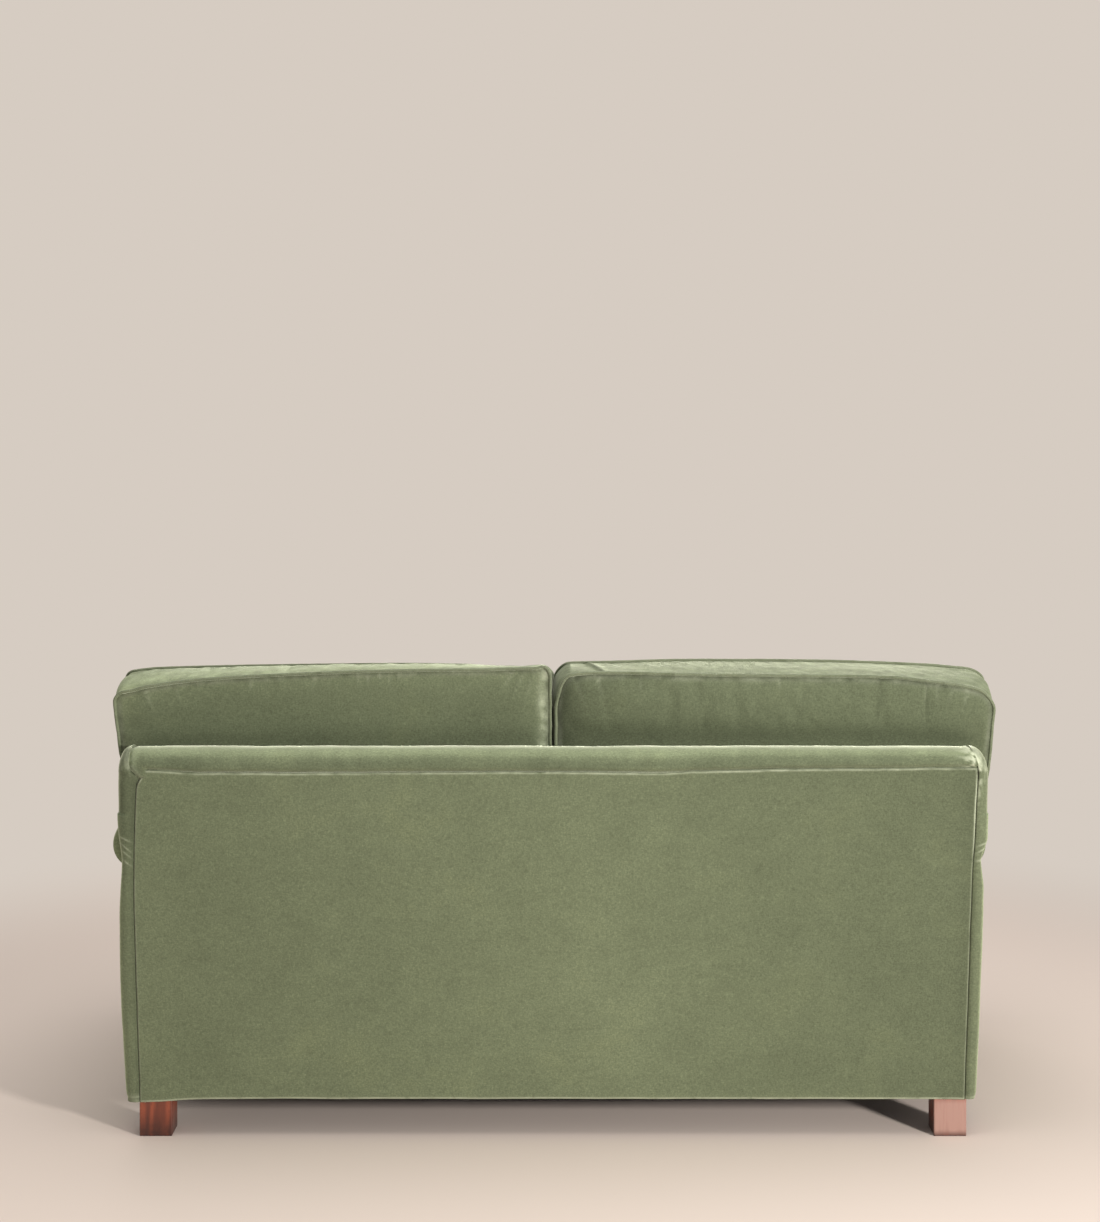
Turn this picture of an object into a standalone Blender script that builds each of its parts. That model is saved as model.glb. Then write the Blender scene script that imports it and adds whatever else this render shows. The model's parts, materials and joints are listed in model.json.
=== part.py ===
"""A two-seater sofa with low rolled arms, built piece by piece.

The sofa faces -Y, its back leans towards +Y, and +Z is up. The origin is on the floor, under the middle of
the sofa. A beech frame on block feet carries zigzag springs, a padded deck, rolled arm pads and a raked back
with a padded top roll. Two seat cushions and two back cushions lie loose on it. Left is +X.
"""

import math
from dataclasses import dataclass
from typing import Callable

import bmesh
import bpy
from mathutils import Vector

# Clearance between pieces that touch
GAP = 0.0003

# Whole sofa
SOFA_DEPTH = 0.92
BODY_HALF_WIDTH = 0.780
BACK_RAKE = math.radians(6.5)

# Feet
FOOT_WIDTH = 0.060
FOOT_HEIGHT = 0.070
FOOT_EDGE = 0.002
FOOT_EDGE_STEPS = 2
FOOT_INSET_SIDE = 0.019
FOOT_INSET_FACE = 0.004
BOLT_RADIUS = 0.004
BOLT_CLEARANCE = 0.0004
BOLT_IN_FOOT = 0.030
BOLT_IN_FRAME = 0.040
BOLT_SIDES = 12

# Beech seat frame
RAIL_THICKNESS = 0.028
RAIL_HEIGHT = 0.150
STRETCHER_HEIGHT = 0.060
CORNER_BLOCK_LEG = 0.085
CORNER_BLOCK_HEIGHT = 0.100

# Beech back frame
BACK_TIMBER = 0.040
TOP_RAIL_HEIGHT = 0.050
CENTRE_POST_WIDTH = 0.045
STUFFING_RAIL_RISE = 0.080
STUFFING_RAIL_HEIGHT = 0.045

# Beech arm frame
ARM_TIMBER = 0.055
ARM_TOP_RAIL_HEIGHT = 0.045

# Zigzag seat springs
SPRING_COUNT = 6
SPRING_WIRE_RADIUS = 0.002
SPRING_LOOPS = 18
SPRING_HALF_WIDTH = 0.024
SPRING_RUN_SHARE = 0.55
SPRING_CROWN = 0.030

# Back webbing
WEBBING_COUNT = 4
WEBBING_WIDTH = 0.060
WEBBING_THICKNESS = 0.003

# Covered outside panels
OUTSIDE_ARM_THICKNESS = 0.006
OUTSIDE_BACK_THICKNESS = 0.012
BACK_BORDER_WIDTH = 0.026
BORDER_PROUD = 0.006
BORDER_EDGE = 0.005
BORDER_CURL_DROP = 0.036
BORDER_CURL_RISE = 0.022
BORDER_STEP = 0.004
FRONT_BORDER_THICKNESS = 0.020
DUST_COVER_THICKNESS = 0.0016
DUST_COVER_SAG = 0.005
DUST_COVER_CUT = 0.002
DUST_COVER_RINGS = 10

# Back padding and top roll
BACK_THICKNESS = 0.105
BACK_ABOVE_ARM = 0.0806
ROLL_HEIGHT = 0.039
ROLL_BULGE = 0.004
ROLL_STEPS = 14
ROLL_END_DROP = 0.006

# Arms
ARM_ABOVE_DECK = 0.318
ARM_ROLL_RADIUS = 0.055
ARM_PADDING = 0.0244
ARM_ROLL_STEPS = 18
FACING_THICKNESS = 0.020

# Deck
DECK_EDGE_THICKNESS = 0.060
DECK_STEPS = 16

# Loose seat cushions
CUSHION_SPACING = 0.004
SEAT_EDGE = 0.150
SEAT_CROWN = 0.022
SEAT_NOSE = 0.012
SEAT_BOXING_BULGE = 0.008
SEAT_DRAW_IN = 0.006

# Loose back cushions, with an ear that lies on the arm
BACK_CUSHION_ABOVE_ROLL = 0.1305
BACK_CUSHION_EDGE = 0.165
BACK_CUSHION_OVERHANG = 0.020
BACK_CUSHION_CROWN = 0.026
BACK_CUSHION_REAR_CROWN = 0.010
REAR_CROWN_RISE_SHARE = 0.25
BACK_BOXING_BULGE = 0.012
BACK_TOP_TILT = 0.010
BACK_OUTER_DROOP = 0.022
BACK_INNER_DROOP = 0.008
OUTER_DROOP_POWER = 4
INNER_DROOP_POWER = 6

# Shape shared by the loose cushions
CUSHION_CORNER = 0.030
CUSHION_COLUMNS = 9
CUSHION_ROWS = 9
CROWN_REACH = 0.165
BOXING_ROWS = 4

# Angles up to which neighbouring faces are shaded as one
ROUND_SMOOTHING = math.radians(40)
CUSHION_SMOOTHING = math.radians(50)

# Places worked out from the sizes above, from the floor up and from the outside in
RAIL_BOTTOM = FOOT_HEIGHT + GAP
RAIL_TOP = RAIL_BOTTOM + RAIL_HEIGHT
SPRING_SEAT = RAIL_TOP + GAP + SPRING_WIRE_RADIUS
DECK_BOTTOM = SPRING_SEAT + SPRING_WIRE_RADIUS + GAP
DECK_TOP = DECK_BOTTOM + DECK_EDGE_THICKNESS
SEAT_BOTTOM = DECK_TOP + GAP
SEAT_EDGE_TOP = SEAT_BOTTOM + SEAT_EDGE
ARM_TOP = DECK_TOP + ARM_ABOVE_DECK
ROLL_SEAM_HEIGHT = ARM_TOP + BACK_ABOVE_ARM
ROLL_TOP = ROLL_SEAM_HEIGHT + ROLL_HEIGHT
STUFFING_RAIL_BOTTOM = RAIL_TOP + STUFFING_RAIL_RISE
STUFFING_RAIL_TOP = STUFFING_RAIL_BOTTOM + STUFFING_RAIL_HEIGHT
TOP_RAIL_TOP = ROLL_SEAM_HEIGHT - GAP
TOP_RAIL_BOTTOM = TOP_RAIL_TOP - TOP_RAIL_HEIGHT
FRAME_OUTER = BODY_HALF_WIDTH - OUTSIDE_ARM_THICKNESS - GAP
FRAME_INNER = FRAME_OUTER - ARM_TIMBER
SIDE_RAIL_INNER = FRAME_OUTER - RAIL_THICKNESS
ARM_INNER = FRAME_INNER - GAP - ARM_PADDING
ARM_ROLL_X = ARM_INNER + ARM_ROLL_RADIUS
ARM_ROLL_Z = ARM_TOP - ARM_ROLL_RADIUS
ARM_RAIL_TOP = ARM_ROLL_Z
ARM_RAIL_BOTTOM = ARM_RAIL_TOP - ARM_TOP_RAIL_HEIGHT
BACK_PANEL_HALF = BODY_HALF_WIDTH - BACK_BORDER_WIDTH
BORDER_OUTER = BODY_HALF_WIDTH + BORDER_PROUD
BORDER_CURL_LOW = ARM_ROLL_Z - BORDER_CURL_DROP
TIMBER_REAR = OUTSIDE_BACK_THICKNESS + GAP
TIMBER_FRONT = TIMBER_REAR + BACK_TIMBER
FRONT_FACE = -SOFA_DEPTH / 2 + SEAT_NOSE
FRONT_TIMBER = FRONT_FACE + FRONT_BORDER_THICKNESS + GAP
FRONT_TIMBER_BACK = FRONT_TIMBER + RAIL_THICKNESS
CUSHION_INNER = CUSHION_SPACING / 2
CUSHION_OUTER = ARM_INNER - GAP
BACK_CUSHION_REACH = BODY_HALF_WIDTH + BACK_CUSHION_OVERHANG
BACK_CUSHION_BOTTOM = SEAT_EDGE_TOP + SEAT_CROWN + GAP
BACK_CUSHION_TOP = ROLL_TOP + BACK_CUSHION_ABOVE_ROLL
EAR_BOTTOM = ARM_TOP + GAP

LEFT_AND_RIGHT = (("left", 1), ("right", -1))


def lean(depth, height):
    """Y of a plane that lies `depth` in front of the sofa's raked rear face, at a height above the floor."""
    rear_at_roll = SOFA_DEPTH / 2 - ROLL_BULGE
    return rear_at_roll - (ROLL_SEAM_HEIGHT - height) * math.tan(BACK_RAKE) - depth


def clear_scene():
    """Removes whatever the scene holds."""
    for thing in list(bpy.data.objects):
        bpy.data.objects.remove(thing, do_unlink=True)


def finish_material(name, colour, roughness, metallic=0.0):
    """A plain Principled material."""
    material = bpy.data.materials.new(name)
    material.use_nodes = True
    shader = material.node_tree.nodes["Principled BSDF"]
    shader.inputs["Base Color"].default_value = (*colour, 1.0)
    shader.inputs["Roughness"].default_value = roughness
    shader.inputs["Metallic"].default_value = metallic
    return material


def velvet():
    """Sage green cotton velvet."""
    return finish_material("green_velvet", (0.187, 0.205, 0.117), 0.85)


def stained_wood():
    """Red-brown stained hardwood of the feet."""
    return finish_material("stained_hardwood", (0.175, 0.055, 0.032), 0.45)


def beech():
    """Bare beech of the hidden frame."""
    return finish_material("beech", (0.56, 0.38, 0.22), 0.7)


def spring_steel():
    """Bright spring and bolt steel."""
    return finish_material("spring_steel", (0.55, 0.55, 0.56), 0.35, 1.0)


def elastic_webbing():
    """Woven elastic webbing."""
    return finish_material("elastic_webbing", (0.30, 0.25, 0.19), 0.9)


def black_cloth():
    """Black bonded cloth under the seat."""
    return finish_material("black_dust_cloth", (0.02, 0.02, 0.02), 0.95)


def deck_cloth():
    """Lining cloth of the deck under the seat cushions."""
    return finish_material("deck_cloth", (0.13, 0.145, 0.085), 0.95)


def add_piece(name, form, material):
    """Links a bmesh as an object whose origin is the middle of its box."""
    bmesh.ops.recalc_face_normals(form, faces=form.faces)
    places = [vertex.co for vertex in form.verts]
    low = Vector([min(place[axis] for place in places) for axis in range(3)])
    high = Vector([max(place[axis] for place in places) for axis in range(3)])
    middle = (low + high) / 2
    bmesh.ops.translate(form, verts=form.verts, vec=-middle)
    mesh = bpy.data.meshes.new(name)
    form.to_mesh(mesh)
    form.free()
    mesh.materials.append(material)
    piece = bpy.data.objects.new(name, mesh)
    piece.location = middle
    bpy.context.scene.collection.objects.link(piece)
    return piece


def loft(name, rings, material, smooth_angle=None):
    """A closed solid through rings of points, with a flat cap on the first and last ring."""
    form = bmesh.new()
    loops = [[form.verts.new(point) for point in ring] for ring in rings]
    count = len(loops[0])
    for near, far in zip(loops, loops[1:]):
        for here in range(count):
            after = (here + 1) % count
            form.faces.new((near[here], near[after], far[after], far[here]))
    form.faces.new(loops[0])
    form.faces.new(loops[-1])
    piece = add_piece(name, form, material)
    if smooth_angle is not None:
        piece.data.shade_smooth()
        piece.data.set_sharp_from_angle(angle=smooth_angle)
    return piece


def block(name, low, high, material):
    """A straight-sided block between two corners."""
    bottom = [(low[0], low[1]), (high[0], low[1]), (high[0], high[1]), (low[0], high[1])]
    return loft(name, [[(x, y, z) for x, y in bottom] for z in (low[2], high[2])], material)


def standing_block(name, sides, front_at, rear_at, heights, material):
    """A block with level ends, its front and rear faces given as Y at a height."""
    rings = [[(sides[0], front_at(z), z), (sides[1], front_at(z), z),
              (sides[1], rear_at(z), z), (sides[0], rear_at(z), z)] for z in heights]
    return loft(name, rings, material)


def raked_block(name, sides, depths, heights, material):
    """A block that follows the rake of the back, with level ends."""
    rear, front = depths
    return standing_block(name, sides, lambda z: lean(front, z), lambda z: lean(rear, z), heights, material)


def run_to_back(name, sides, front, depth, heights, material):
    """A rail that runs back from an upright front end to a plane of the raked back."""
    return standing_block(name, sides, lambda z: front, lambda z: lean(depth, z), heights, material)


def across(sign, near, far):
    """A pair of X places on one side of the sofa, lowest first."""
    return sorted((sign * near, sign * far))


def arc_points(centre, radii, start, end, steps):
    """Points on an elliptical arc, both ends included, in a plane given as (first, second)."""
    angles = [start + (end - start) * step / steps for step in range(steps + 1)]
    return [(centre[0] + radii[0] * math.cos(angle), centre[1] + radii[1] * math.sin(angle))
            for angle in angles]


# Seat frame


def seat_rails(material):
    """Four rails between the corner posts, and the stretcher across the middle."""
    heights = (RAIL_BOTTOM, RAIL_TOP)
    between_posts = FRAME_INNER - GAP
    block("seat_rail_front", (-between_posts, FRONT_TIMBER, RAIL_BOTTOM),
          (between_posts, FRONT_TIMBER_BACK, RAIL_TOP), material)
    raked_block("seat_rail_rear", (-between_posts, between_posts), (TIMBER_REAR, TIMBER_FRONT),
                heights, material)
    for side, sign in LEFT_AND_RIGHT:
        run_to_back("seat_rail_" + side, across(sign, SIDE_RAIL_INNER, FRAME_OUTER),
                    FRONT_TIMBER_BACK + GAP, TIMBER_FRONT + GAP, heights, material)
    half = RAIL_THICKNESS / 2
    run_to_back("seat_stretcher", (-half, half), FRONT_TIMBER_BACK + GAP, TIMBER_FRONT + GAP,
                (RAIL_BOTTOM, RAIL_BOTTOM + STRETCHER_HEIGHT), material)


def corner_block(name, sign, at_front, material):
    """A three-sided brace in one corner of the seat frame."""
    rings = []
    for height in (RAIL_BOTTOM, RAIL_BOTTOM + CORNER_BLOCK_HEIGHT):
        if at_front:
            wall, inwards = FRONT_TIMBER_BACK + GAP, CORNER_BLOCK_LEG
        else:
            wall, inwards = lean(TIMBER_FRONT + GAP, height), -CORNER_BLOCK_LEG
        corner = sign * (SIDE_RAIL_INNER - GAP)
        rings.append([(corner, wall, height), (corner - sign * CORNER_BLOCK_LEG, wall, height),
                      (corner, wall + inwards, height)])
    loft(name, rings, material)


def corner_blocks(material):
    """The braces in all four corners."""
    for side, sign in LEFT_AND_RIGHT:
        corner_block("corner_block_front_" + side, sign, True, material)
        corner_block("corner_block_rear_" + side, sign, False, material)


# Back frame


def back_frame(material):
    """Raked posts, the top rail over them and the stuffing rail between them."""
    depths = (TIMBER_REAR, TIMBER_FRONT)
    posts = []
    for side, sign in LEFT_AND_RIGHT:
        posts.append(raked_block("back_post_" + side, across(sign, FRAME_INNER, FRAME_OUTER), depths,
                                 (RAIL_BOTTOM, TOP_RAIL_BOTTOM - GAP), material))
    half = CENTRE_POST_WIDTH / 2
    raked_block("back_post_centre", (-half, half), depths,
                (STUFFING_RAIL_TOP + GAP, TOP_RAIL_BOTTOM - GAP), material)
    raked_block("back_top_rail", (-FRAME_OUTER, FRAME_OUTER), depths,
                (TOP_RAIL_BOTTOM, TOP_RAIL_TOP), material)
    between_posts = FRAME_INNER - GAP
    raked_block("back_stuffing_rail", (-between_posts, between_posts), depths,
                (STUFFING_RAIL_BOTTOM, STUFFING_RAIL_TOP), material)
    return posts


def back_webbing(material):
    """Upright straps on the front of the back frame, from the stuffing rail to the top rail."""
    reach = FRAME_INNER - GAP
    pitch = 2 * reach / WEBBING_COUNT
    for number in range(WEBBING_COUNT):
        middle = -reach + pitch * number + pitch / 2
        sides = (middle - WEBBING_WIDTH / 2, middle + WEBBING_WIDTH / 2)
        depths = (TIMBER_FRONT + GAP, TIMBER_FRONT + GAP + WEBBING_THICKNESS)
        raked_block("back_webbing_%d" % (number + 1), sides, depths,
                    (STUFFING_RAIL_BOTTOM, TOP_RAIL_TOP), material)


# Arm frames


def arm_frames(material):
    """Front posts, top rails and stuffing rails of both arms."""
    posts = []
    for side, sign in LEFT_AND_RIGHT:
        low_x, high_x = across(sign, FRAME_INNER, FRAME_OUTER)
        posts.append(block("arm_front_post_" + side, (low_x, FRONT_TIMBER, RAIL_BOTTOM),
                           (high_x, FRONT_TIMBER_BACK, ARM_RAIL_BOTTOM - GAP), material))
        run_to_back("arm_top_rail_" + side, (low_x, high_x), FRONT_TIMBER, TIMBER_FRONT + GAP,
                    (ARM_RAIL_BOTTOM, ARM_RAIL_TOP), material)
        run_to_back("arm_stuffing_rail_" + side,
                    across(sign, FRAME_INNER, FRAME_INNER + RAIL_THICKNESS),
                    FRONT_TIMBER_BACK + GAP, TIMBER_FRONT + GAP,
                    (STUFFING_RAIL_BOTTOM, STUFFING_RAIL_TOP), material)
    return posts


# Springs


def spring_span():
    """Y of the zigzag springs' two ends, over the middle of the front and rear rails."""
    rear = lean((TIMBER_REAR + TIMBER_FRONT) / 2, RAIL_TOP)
    return (FRONT_TIMBER + FRONT_TIMBER_BACK) / 2, rear


def spring_rise(y):
    """How far the springs' arch stands above their ends at a place along them."""
    front, rear = spring_span()
    share = min(max((y - front) / (rear - front), 0), 1)
    return SPRING_CROWN * 4 * share * (1 - share)


def spring_route(middle):
    """The bends of one zigzag spring."""
    front, rear = spring_span()
    pitch = (rear - front) / SPRING_LOOPS
    points = []
    for loop in range(SPRING_LOOPS):
        x = middle + SPRING_HALF_WIDTH * (1 if loop % 2 else -1)
        centre = front + pitch * loop + pitch / 2
        for end in (-1, 1):
            y = centre + end * SPRING_RUN_SHARE * pitch / 2
            points.append((x, y, SPRING_SEAT + spring_rise(y)))
    return points


def seat_springs(material):
    """A row of zigzag wire springs arched from the front rail to the rear rail."""
    reach = ARM_INNER - GAP
    pitch = 2 * reach / SPRING_COUNT
    for number in range(SPRING_COUNT):
        name = "seat_spring_%d" % (number + 1)
        wire = bpy.data.curves.new(name, "CURVE")
        wire.dimensions = "3D"
        wire.bevel_depth = SPRING_WIRE_RADIUS
        wire.bevel_resolution = 0
        wire.use_fill_caps = True
        route = spring_route(-reach + pitch * number + pitch / 2)
        spline = wire.splines.new("POLY")
        spline.points.add(len(route) - 1)
        for point, place in zip(spline.points, route):
            point.co = (*place, 1)
        wire.materials.append(material)
        spring = bpy.data.objects.new(name, wire)
        bpy.context.scene.collection.objects.link(spring)


# Feet and their bolts


def foot_places():
    """Name, side and middle of each foot, on the floor."""
    places = []
    x = BODY_HALF_WIDTH - FOOT_INSET_SIDE - FOOT_WIDTH / 2
    inset = FOOT_INSET_FACE + FOOT_WIDTH / 2
    for side, sign in LEFT_AND_RIGHT:
        places.append(("front_" + side, sign * x, FRONT_FACE + inset))
        places.append(("rear_" + side, sign * x, lean(inset, RAIL_BOTTOM)))
    return places


def turned_pin(name, x, y, bottom, top, radius, material):
    """An upright round pin."""
    turn = 2 * math.pi / BOLT_SIDES
    outline = [(x + radius * math.cos(turn * side), y + radius * math.sin(turn * side))
               for side in range(BOLT_SIDES)]
    return loft(name, [[(px, py, z) for px, py in outline] for z in (bottom, top)], material,
                smooth_angle=ROUND_SMOOTHING)


def bore(piece, cutter):
    """Cuts a bolt hole out of a piece."""
    cut = piece.modifiers.new("bolt_hole", "BOOLEAN")
    cut.operation = "DIFFERENCE"
    cut.solver = "EXACT"
    cut.object = cutter


def feet_and_bolts(posts, foot_material, bolt_material):
    """Block feet, each held by a stud bolt that runs up into the post above it."""
    for place, x, y in foot_places():
        half = FOOT_WIDTH / 2
        foot = block("foot_" + place, (x - half, y - half, 0), (x + half, y + half, FOOT_HEIGHT),
                     foot_material)
        eased = foot.modifiers.new("eased_edges", "BEVEL")
        eased.width = FOOT_EDGE
        eased.segments = FOOT_EDGE_STEPS
        bottom = FOOT_HEIGHT - BOLT_IN_FOOT
        top = RAIL_BOTTOM + BOLT_IN_FRAME
        turned_pin("foot_bolt_" + place, x, y, bottom, top, BOLT_RADIUS, bolt_material)
        cutter = turned_pin("cutter_" + place, x, y, bottom - BOLT_CLEARANCE, top + BOLT_CLEARANCE,
                            BOLT_RADIUS + BOLT_CLEARANCE, bolt_material)
        cutter.hide_render = True
        cutter.display_type = "WIRE"
        bore(foot, cutter)
        bore(posts[place], cutter)


# Upholstered back


def outside_back(material):
    """The flat covered panel across the rear of the sofa."""
    raked_block("outside_back", (-BACK_PANEL_HALF, BACK_PANEL_HALF), (0, OUTSIDE_BACK_THICKNESS),
                (RAIL_BOTTOM, ROLL_SEAM_HEIGHT - GAP), material)


def border_ring(sign, outer, wrap, height):
    """One level of a corner border: a strip behind the post and a leg along its outer side."""
    inner = BACK_PANEL_HALF + GAP
    leg = FRAME_OUTER + GAP
    rear, front, back_of_post = lean(0, height), lean(wrap, height), lean(OUTSIDE_BACK_THICKNESS, height)
    outline = [(inner, back_of_post), (inner, rear), (outer - BORDER_EDGE, rear),
               (outer, rear - BORDER_EDGE), (outer, front), (leg, front), (leg, back_of_post)]
    return [(sign * x, y, height) for x, y in outline]


def back_borders(material):
    """The padded strips that wrap the rear corners, fuller above the arms."""
    over_arm = ARM_TOP + GAP
    levels = [(RAIL_BOTTOM, BODY_HALF_WIDTH, TIMBER_FRONT),
              (BORDER_CURL_LOW, BODY_HALF_WIDTH, TIMBER_FRONT),
              (BORDER_CURL_LOW + BORDER_CURL_RISE, BORDER_OUTER, TIMBER_FRONT),
              (over_arm, BORDER_OUTER, TIMBER_FRONT),
              (over_arm + BORDER_STEP, BORDER_OUTER, BACK_THICKNESS),
              (ROLL_SEAM_HEIGHT - GAP, BORDER_OUTER, BACK_THICKNESS)]
    for side, sign in LEFT_AND_RIGHT:
        rings = [border_ring(sign, outer, wrap, height) for height, outer, wrap in levels]
        loft("back_border_" + side, rings, material)


def inside_back(material):
    """The padding in front of the back frame, narrow between the arms and wide above them."""
    narrow = ARM_INNER - GAP
    wide = FRAME_OUTER
    foot = DECK_BOTTOM + spring_rise(lean(BACK_THICKNESS, DECK_BOTTOM))
    shoulder = ARM_TOP + GAP
    head = ROLL_SEAM_HEIGHT - GAP
    outline = [(-narrow, foot), (narrow, foot), (narrow, shoulder), (wide, shoulder), (wide, head),
               (-wide, head), (-wide, shoulder), (-narrow, shoulder)]
    rear = TIMBER_FRONT + WEBBING_THICKNESS + 2 * GAP
    rings = [[(x, lean(depth, z), z) for x, z in outline] for depth in (rear, BACK_THICKNESS)]
    loft("inside_back", rings, material)


def roll_section(drop):
    """The half-round section of the top roll, lowered by a drop."""
    rear = lean(0, ROLL_SEAM_HEIGHT) + ROLL_BULGE - drop
    front = lean(BACK_THICKNESS, ROLL_SEAM_HEIGHT)
    centre = ((rear + front) / 2, ROLL_SEAM_HEIGHT)
    return arc_points(centre, ((rear - front) / 2, ROLL_HEIGHT - drop), 0, math.pi, ROLL_STEPS)


def back_roll(material):
    """The padded roll along the top of the back, and the facings that close its ends."""
    section = roll_section(0)
    rings = [[(x, y, z) for y, z in section] for x in (-BACK_PANEL_HALF, BACK_PANEL_HALF)]
    loft("back_roll", rings, material, smooth_angle=ROUND_SMOOTHING)
    for side, sign in LEFT_AND_RIGHT:
        inner = BACK_PANEL_HALF + GAP
        stations = ((inner, 0), (BORDER_OUTER - BORDER_EDGE, 0), (BORDER_OUTER, ROLL_END_DROP))
        rings = [[(sign * x, y, z) for y, z in roll_section(drop)] for x, drop in stations]
        loft("roll_facing_" + side, rings, material, smooth_angle=ROUND_SMOOTHING)


# Upholstered arms


def roll_arc():
    """The outside of an arm roll, from the inside of the arm over the top to the outside panel."""
    reach = BODY_HALF_WIDTH - ARM_ROLL_X
    end = -math.acos(reach / ARM_ROLL_RADIUS)
    return arc_points((ARM_ROLL_X, ARM_ROLL_Z), (ARM_ROLL_RADIUS, ARM_ROLL_RADIUS), math.pi, end,
                      ARM_ROLL_STEPS)


def arm_pads(material):
    """The inside arm and its roll: one pad that lies against the posts and hooks over the top rail."""
    arc = roll_arc()
    lip = arc[-1][1]
    section = [(ARM_INNER, RAIL_TOP + GAP), *arc, (FRAME_OUTER + GAP, lip),
               (FRAME_OUTER + GAP, ARM_RAIL_TOP + GAP), (FRAME_INNER - GAP, ARM_RAIL_TOP + GAP),
               (FRAME_INNER - GAP, RAIL_TOP + GAP)]
    front = FRONT_FACE + FACING_THICKNESS + GAP
    for side, sign in LEFT_AND_RIGHT:
        rings = [[(sign * x, front, z) for x, z in section],
                 [(sign * x, lean(TIMBER_FRONT + GAP, z), z) for x, z in section]]
        loft("arm_pad_" + side, rings, material, smooth_angle=ROUND_SMOOTHING)


def arm_facings(material):
    """The covered front of each arm, with the roll's round head."""
    section = [(ARM_INNER, RAIL_BOTTOM), *roll_arc(), (BODY_HALF_WIDTH, RAIL_BOTTOM)]
    for side, sign in LEFT_AND_RIGHT:
        rings = [[(sign * x, y, z) for x, z in section]
                 for y in (FRONT_FACE, FRONT_FACE + FACING_THICKNESS)]
        loft("arm_facing_" + side, rings, material, smooth_angle=ROUND_SMOOTHING)


def outside_arms(material):
    """The covered outside panels, from the facing to the border at the rear corner."""
    top = roll_arc()[-1][1] - GAP
    front = FRONT_FACE + FACING_THICKNESS + GAP
    for side, sign in LEFT_AND_RIGHT:
        run_to_back("outside_arm_" + side, across(sign, FRAME_OUTER + GAP, BODY_HALF_WIDTH), front,
                    TIMBER_FRONT + GAP, (RAIL_BOTTOM, top), material)


# Front, deck and underside


def front_border(material):
    """The covered front of the seat, between the arm facings."""
    reach = ARM_INNER - GAP
    block("front_border", (-reach, FRONT_FACE, RAIL_BOTTOM),
          (reach, FRONT_FACE + FRONT_BORDER_THICKNESS, DECK_TOP), material)


def seat_deck(material):
    """The padded deck: flat on top, arched below to follow the springs."""
    reach = ARM_INNER - GAP
    front = FRONT_FACE + FRONT_BORDER_THICKNESS + GAP
    rear_low = lean(BACK_THICKNESS + GAP, DECK_BOTTOM)
    rear_high = lean(BACK_THICKNESS + GAP, DECK_TOP)
    section = []
    for step in range(DECK_STEPS + 1):
        y = front + (rear_low - front) * step / DECK_STEPS
        section.append((y, DECK_BOTTOM + spring_rise(y)))
    section += [(rear_high, DECK_TOP), (front, DECK_TOP)]
    loft("seat_deck", [[(x, y, z) for y, z in section] for x in (-reach, reach)], material)


def dust_cover(material):
    """Thin black cloth stapled under the rails, cut back round the feet and sagging a little."""
    foot_inner = BODY_HALF_WIDTH - FOOT_INSET_SIDE - FOOT_WIDTH - DUST_COVER_CUT
    whole = (FRONT_TIMBER, lean(TIMBER_REAR, RAIL_BOTTOM))
    foot_reach = FOOT_INSET_FACE + FOOT_WIDTH + DUST_COVER_CUT
    between_feet = (FRONT_FACE + foot_reach, lean(foot_reach, RAIL_BOTTOM))
    middle = [2 * foot_inner * step / DUST_COVER_RINGS - foot_inner for step in range(DUST_COVER_RINGS + 1)]
    ends = [foot_inner + DUST_COVER_CUT / 2, FRAME_OUTER]
    stations = [(-ends[1], between_feet), (-ends[0], between_feet), *[(x, whole) for x in middle],
                (ends[0], between_feet), (ends[1], between_feet)]
    rings = []
    for x, (front, rear) in stations:
        top = RAIL_BOTTOM - GAP - DUST_COVER_SAG * max(1 - (x / foot_inner) ** 2, 0)
        bottom = top - DUST_COVER_THICKNESS
        rings.append([(x, y, z) for y, z in
                      ((front, bottom), (rear, bottom), (rear, top), (front, top))])
    loft("dust_cover", rings, material)


# Loose cushions


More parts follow.
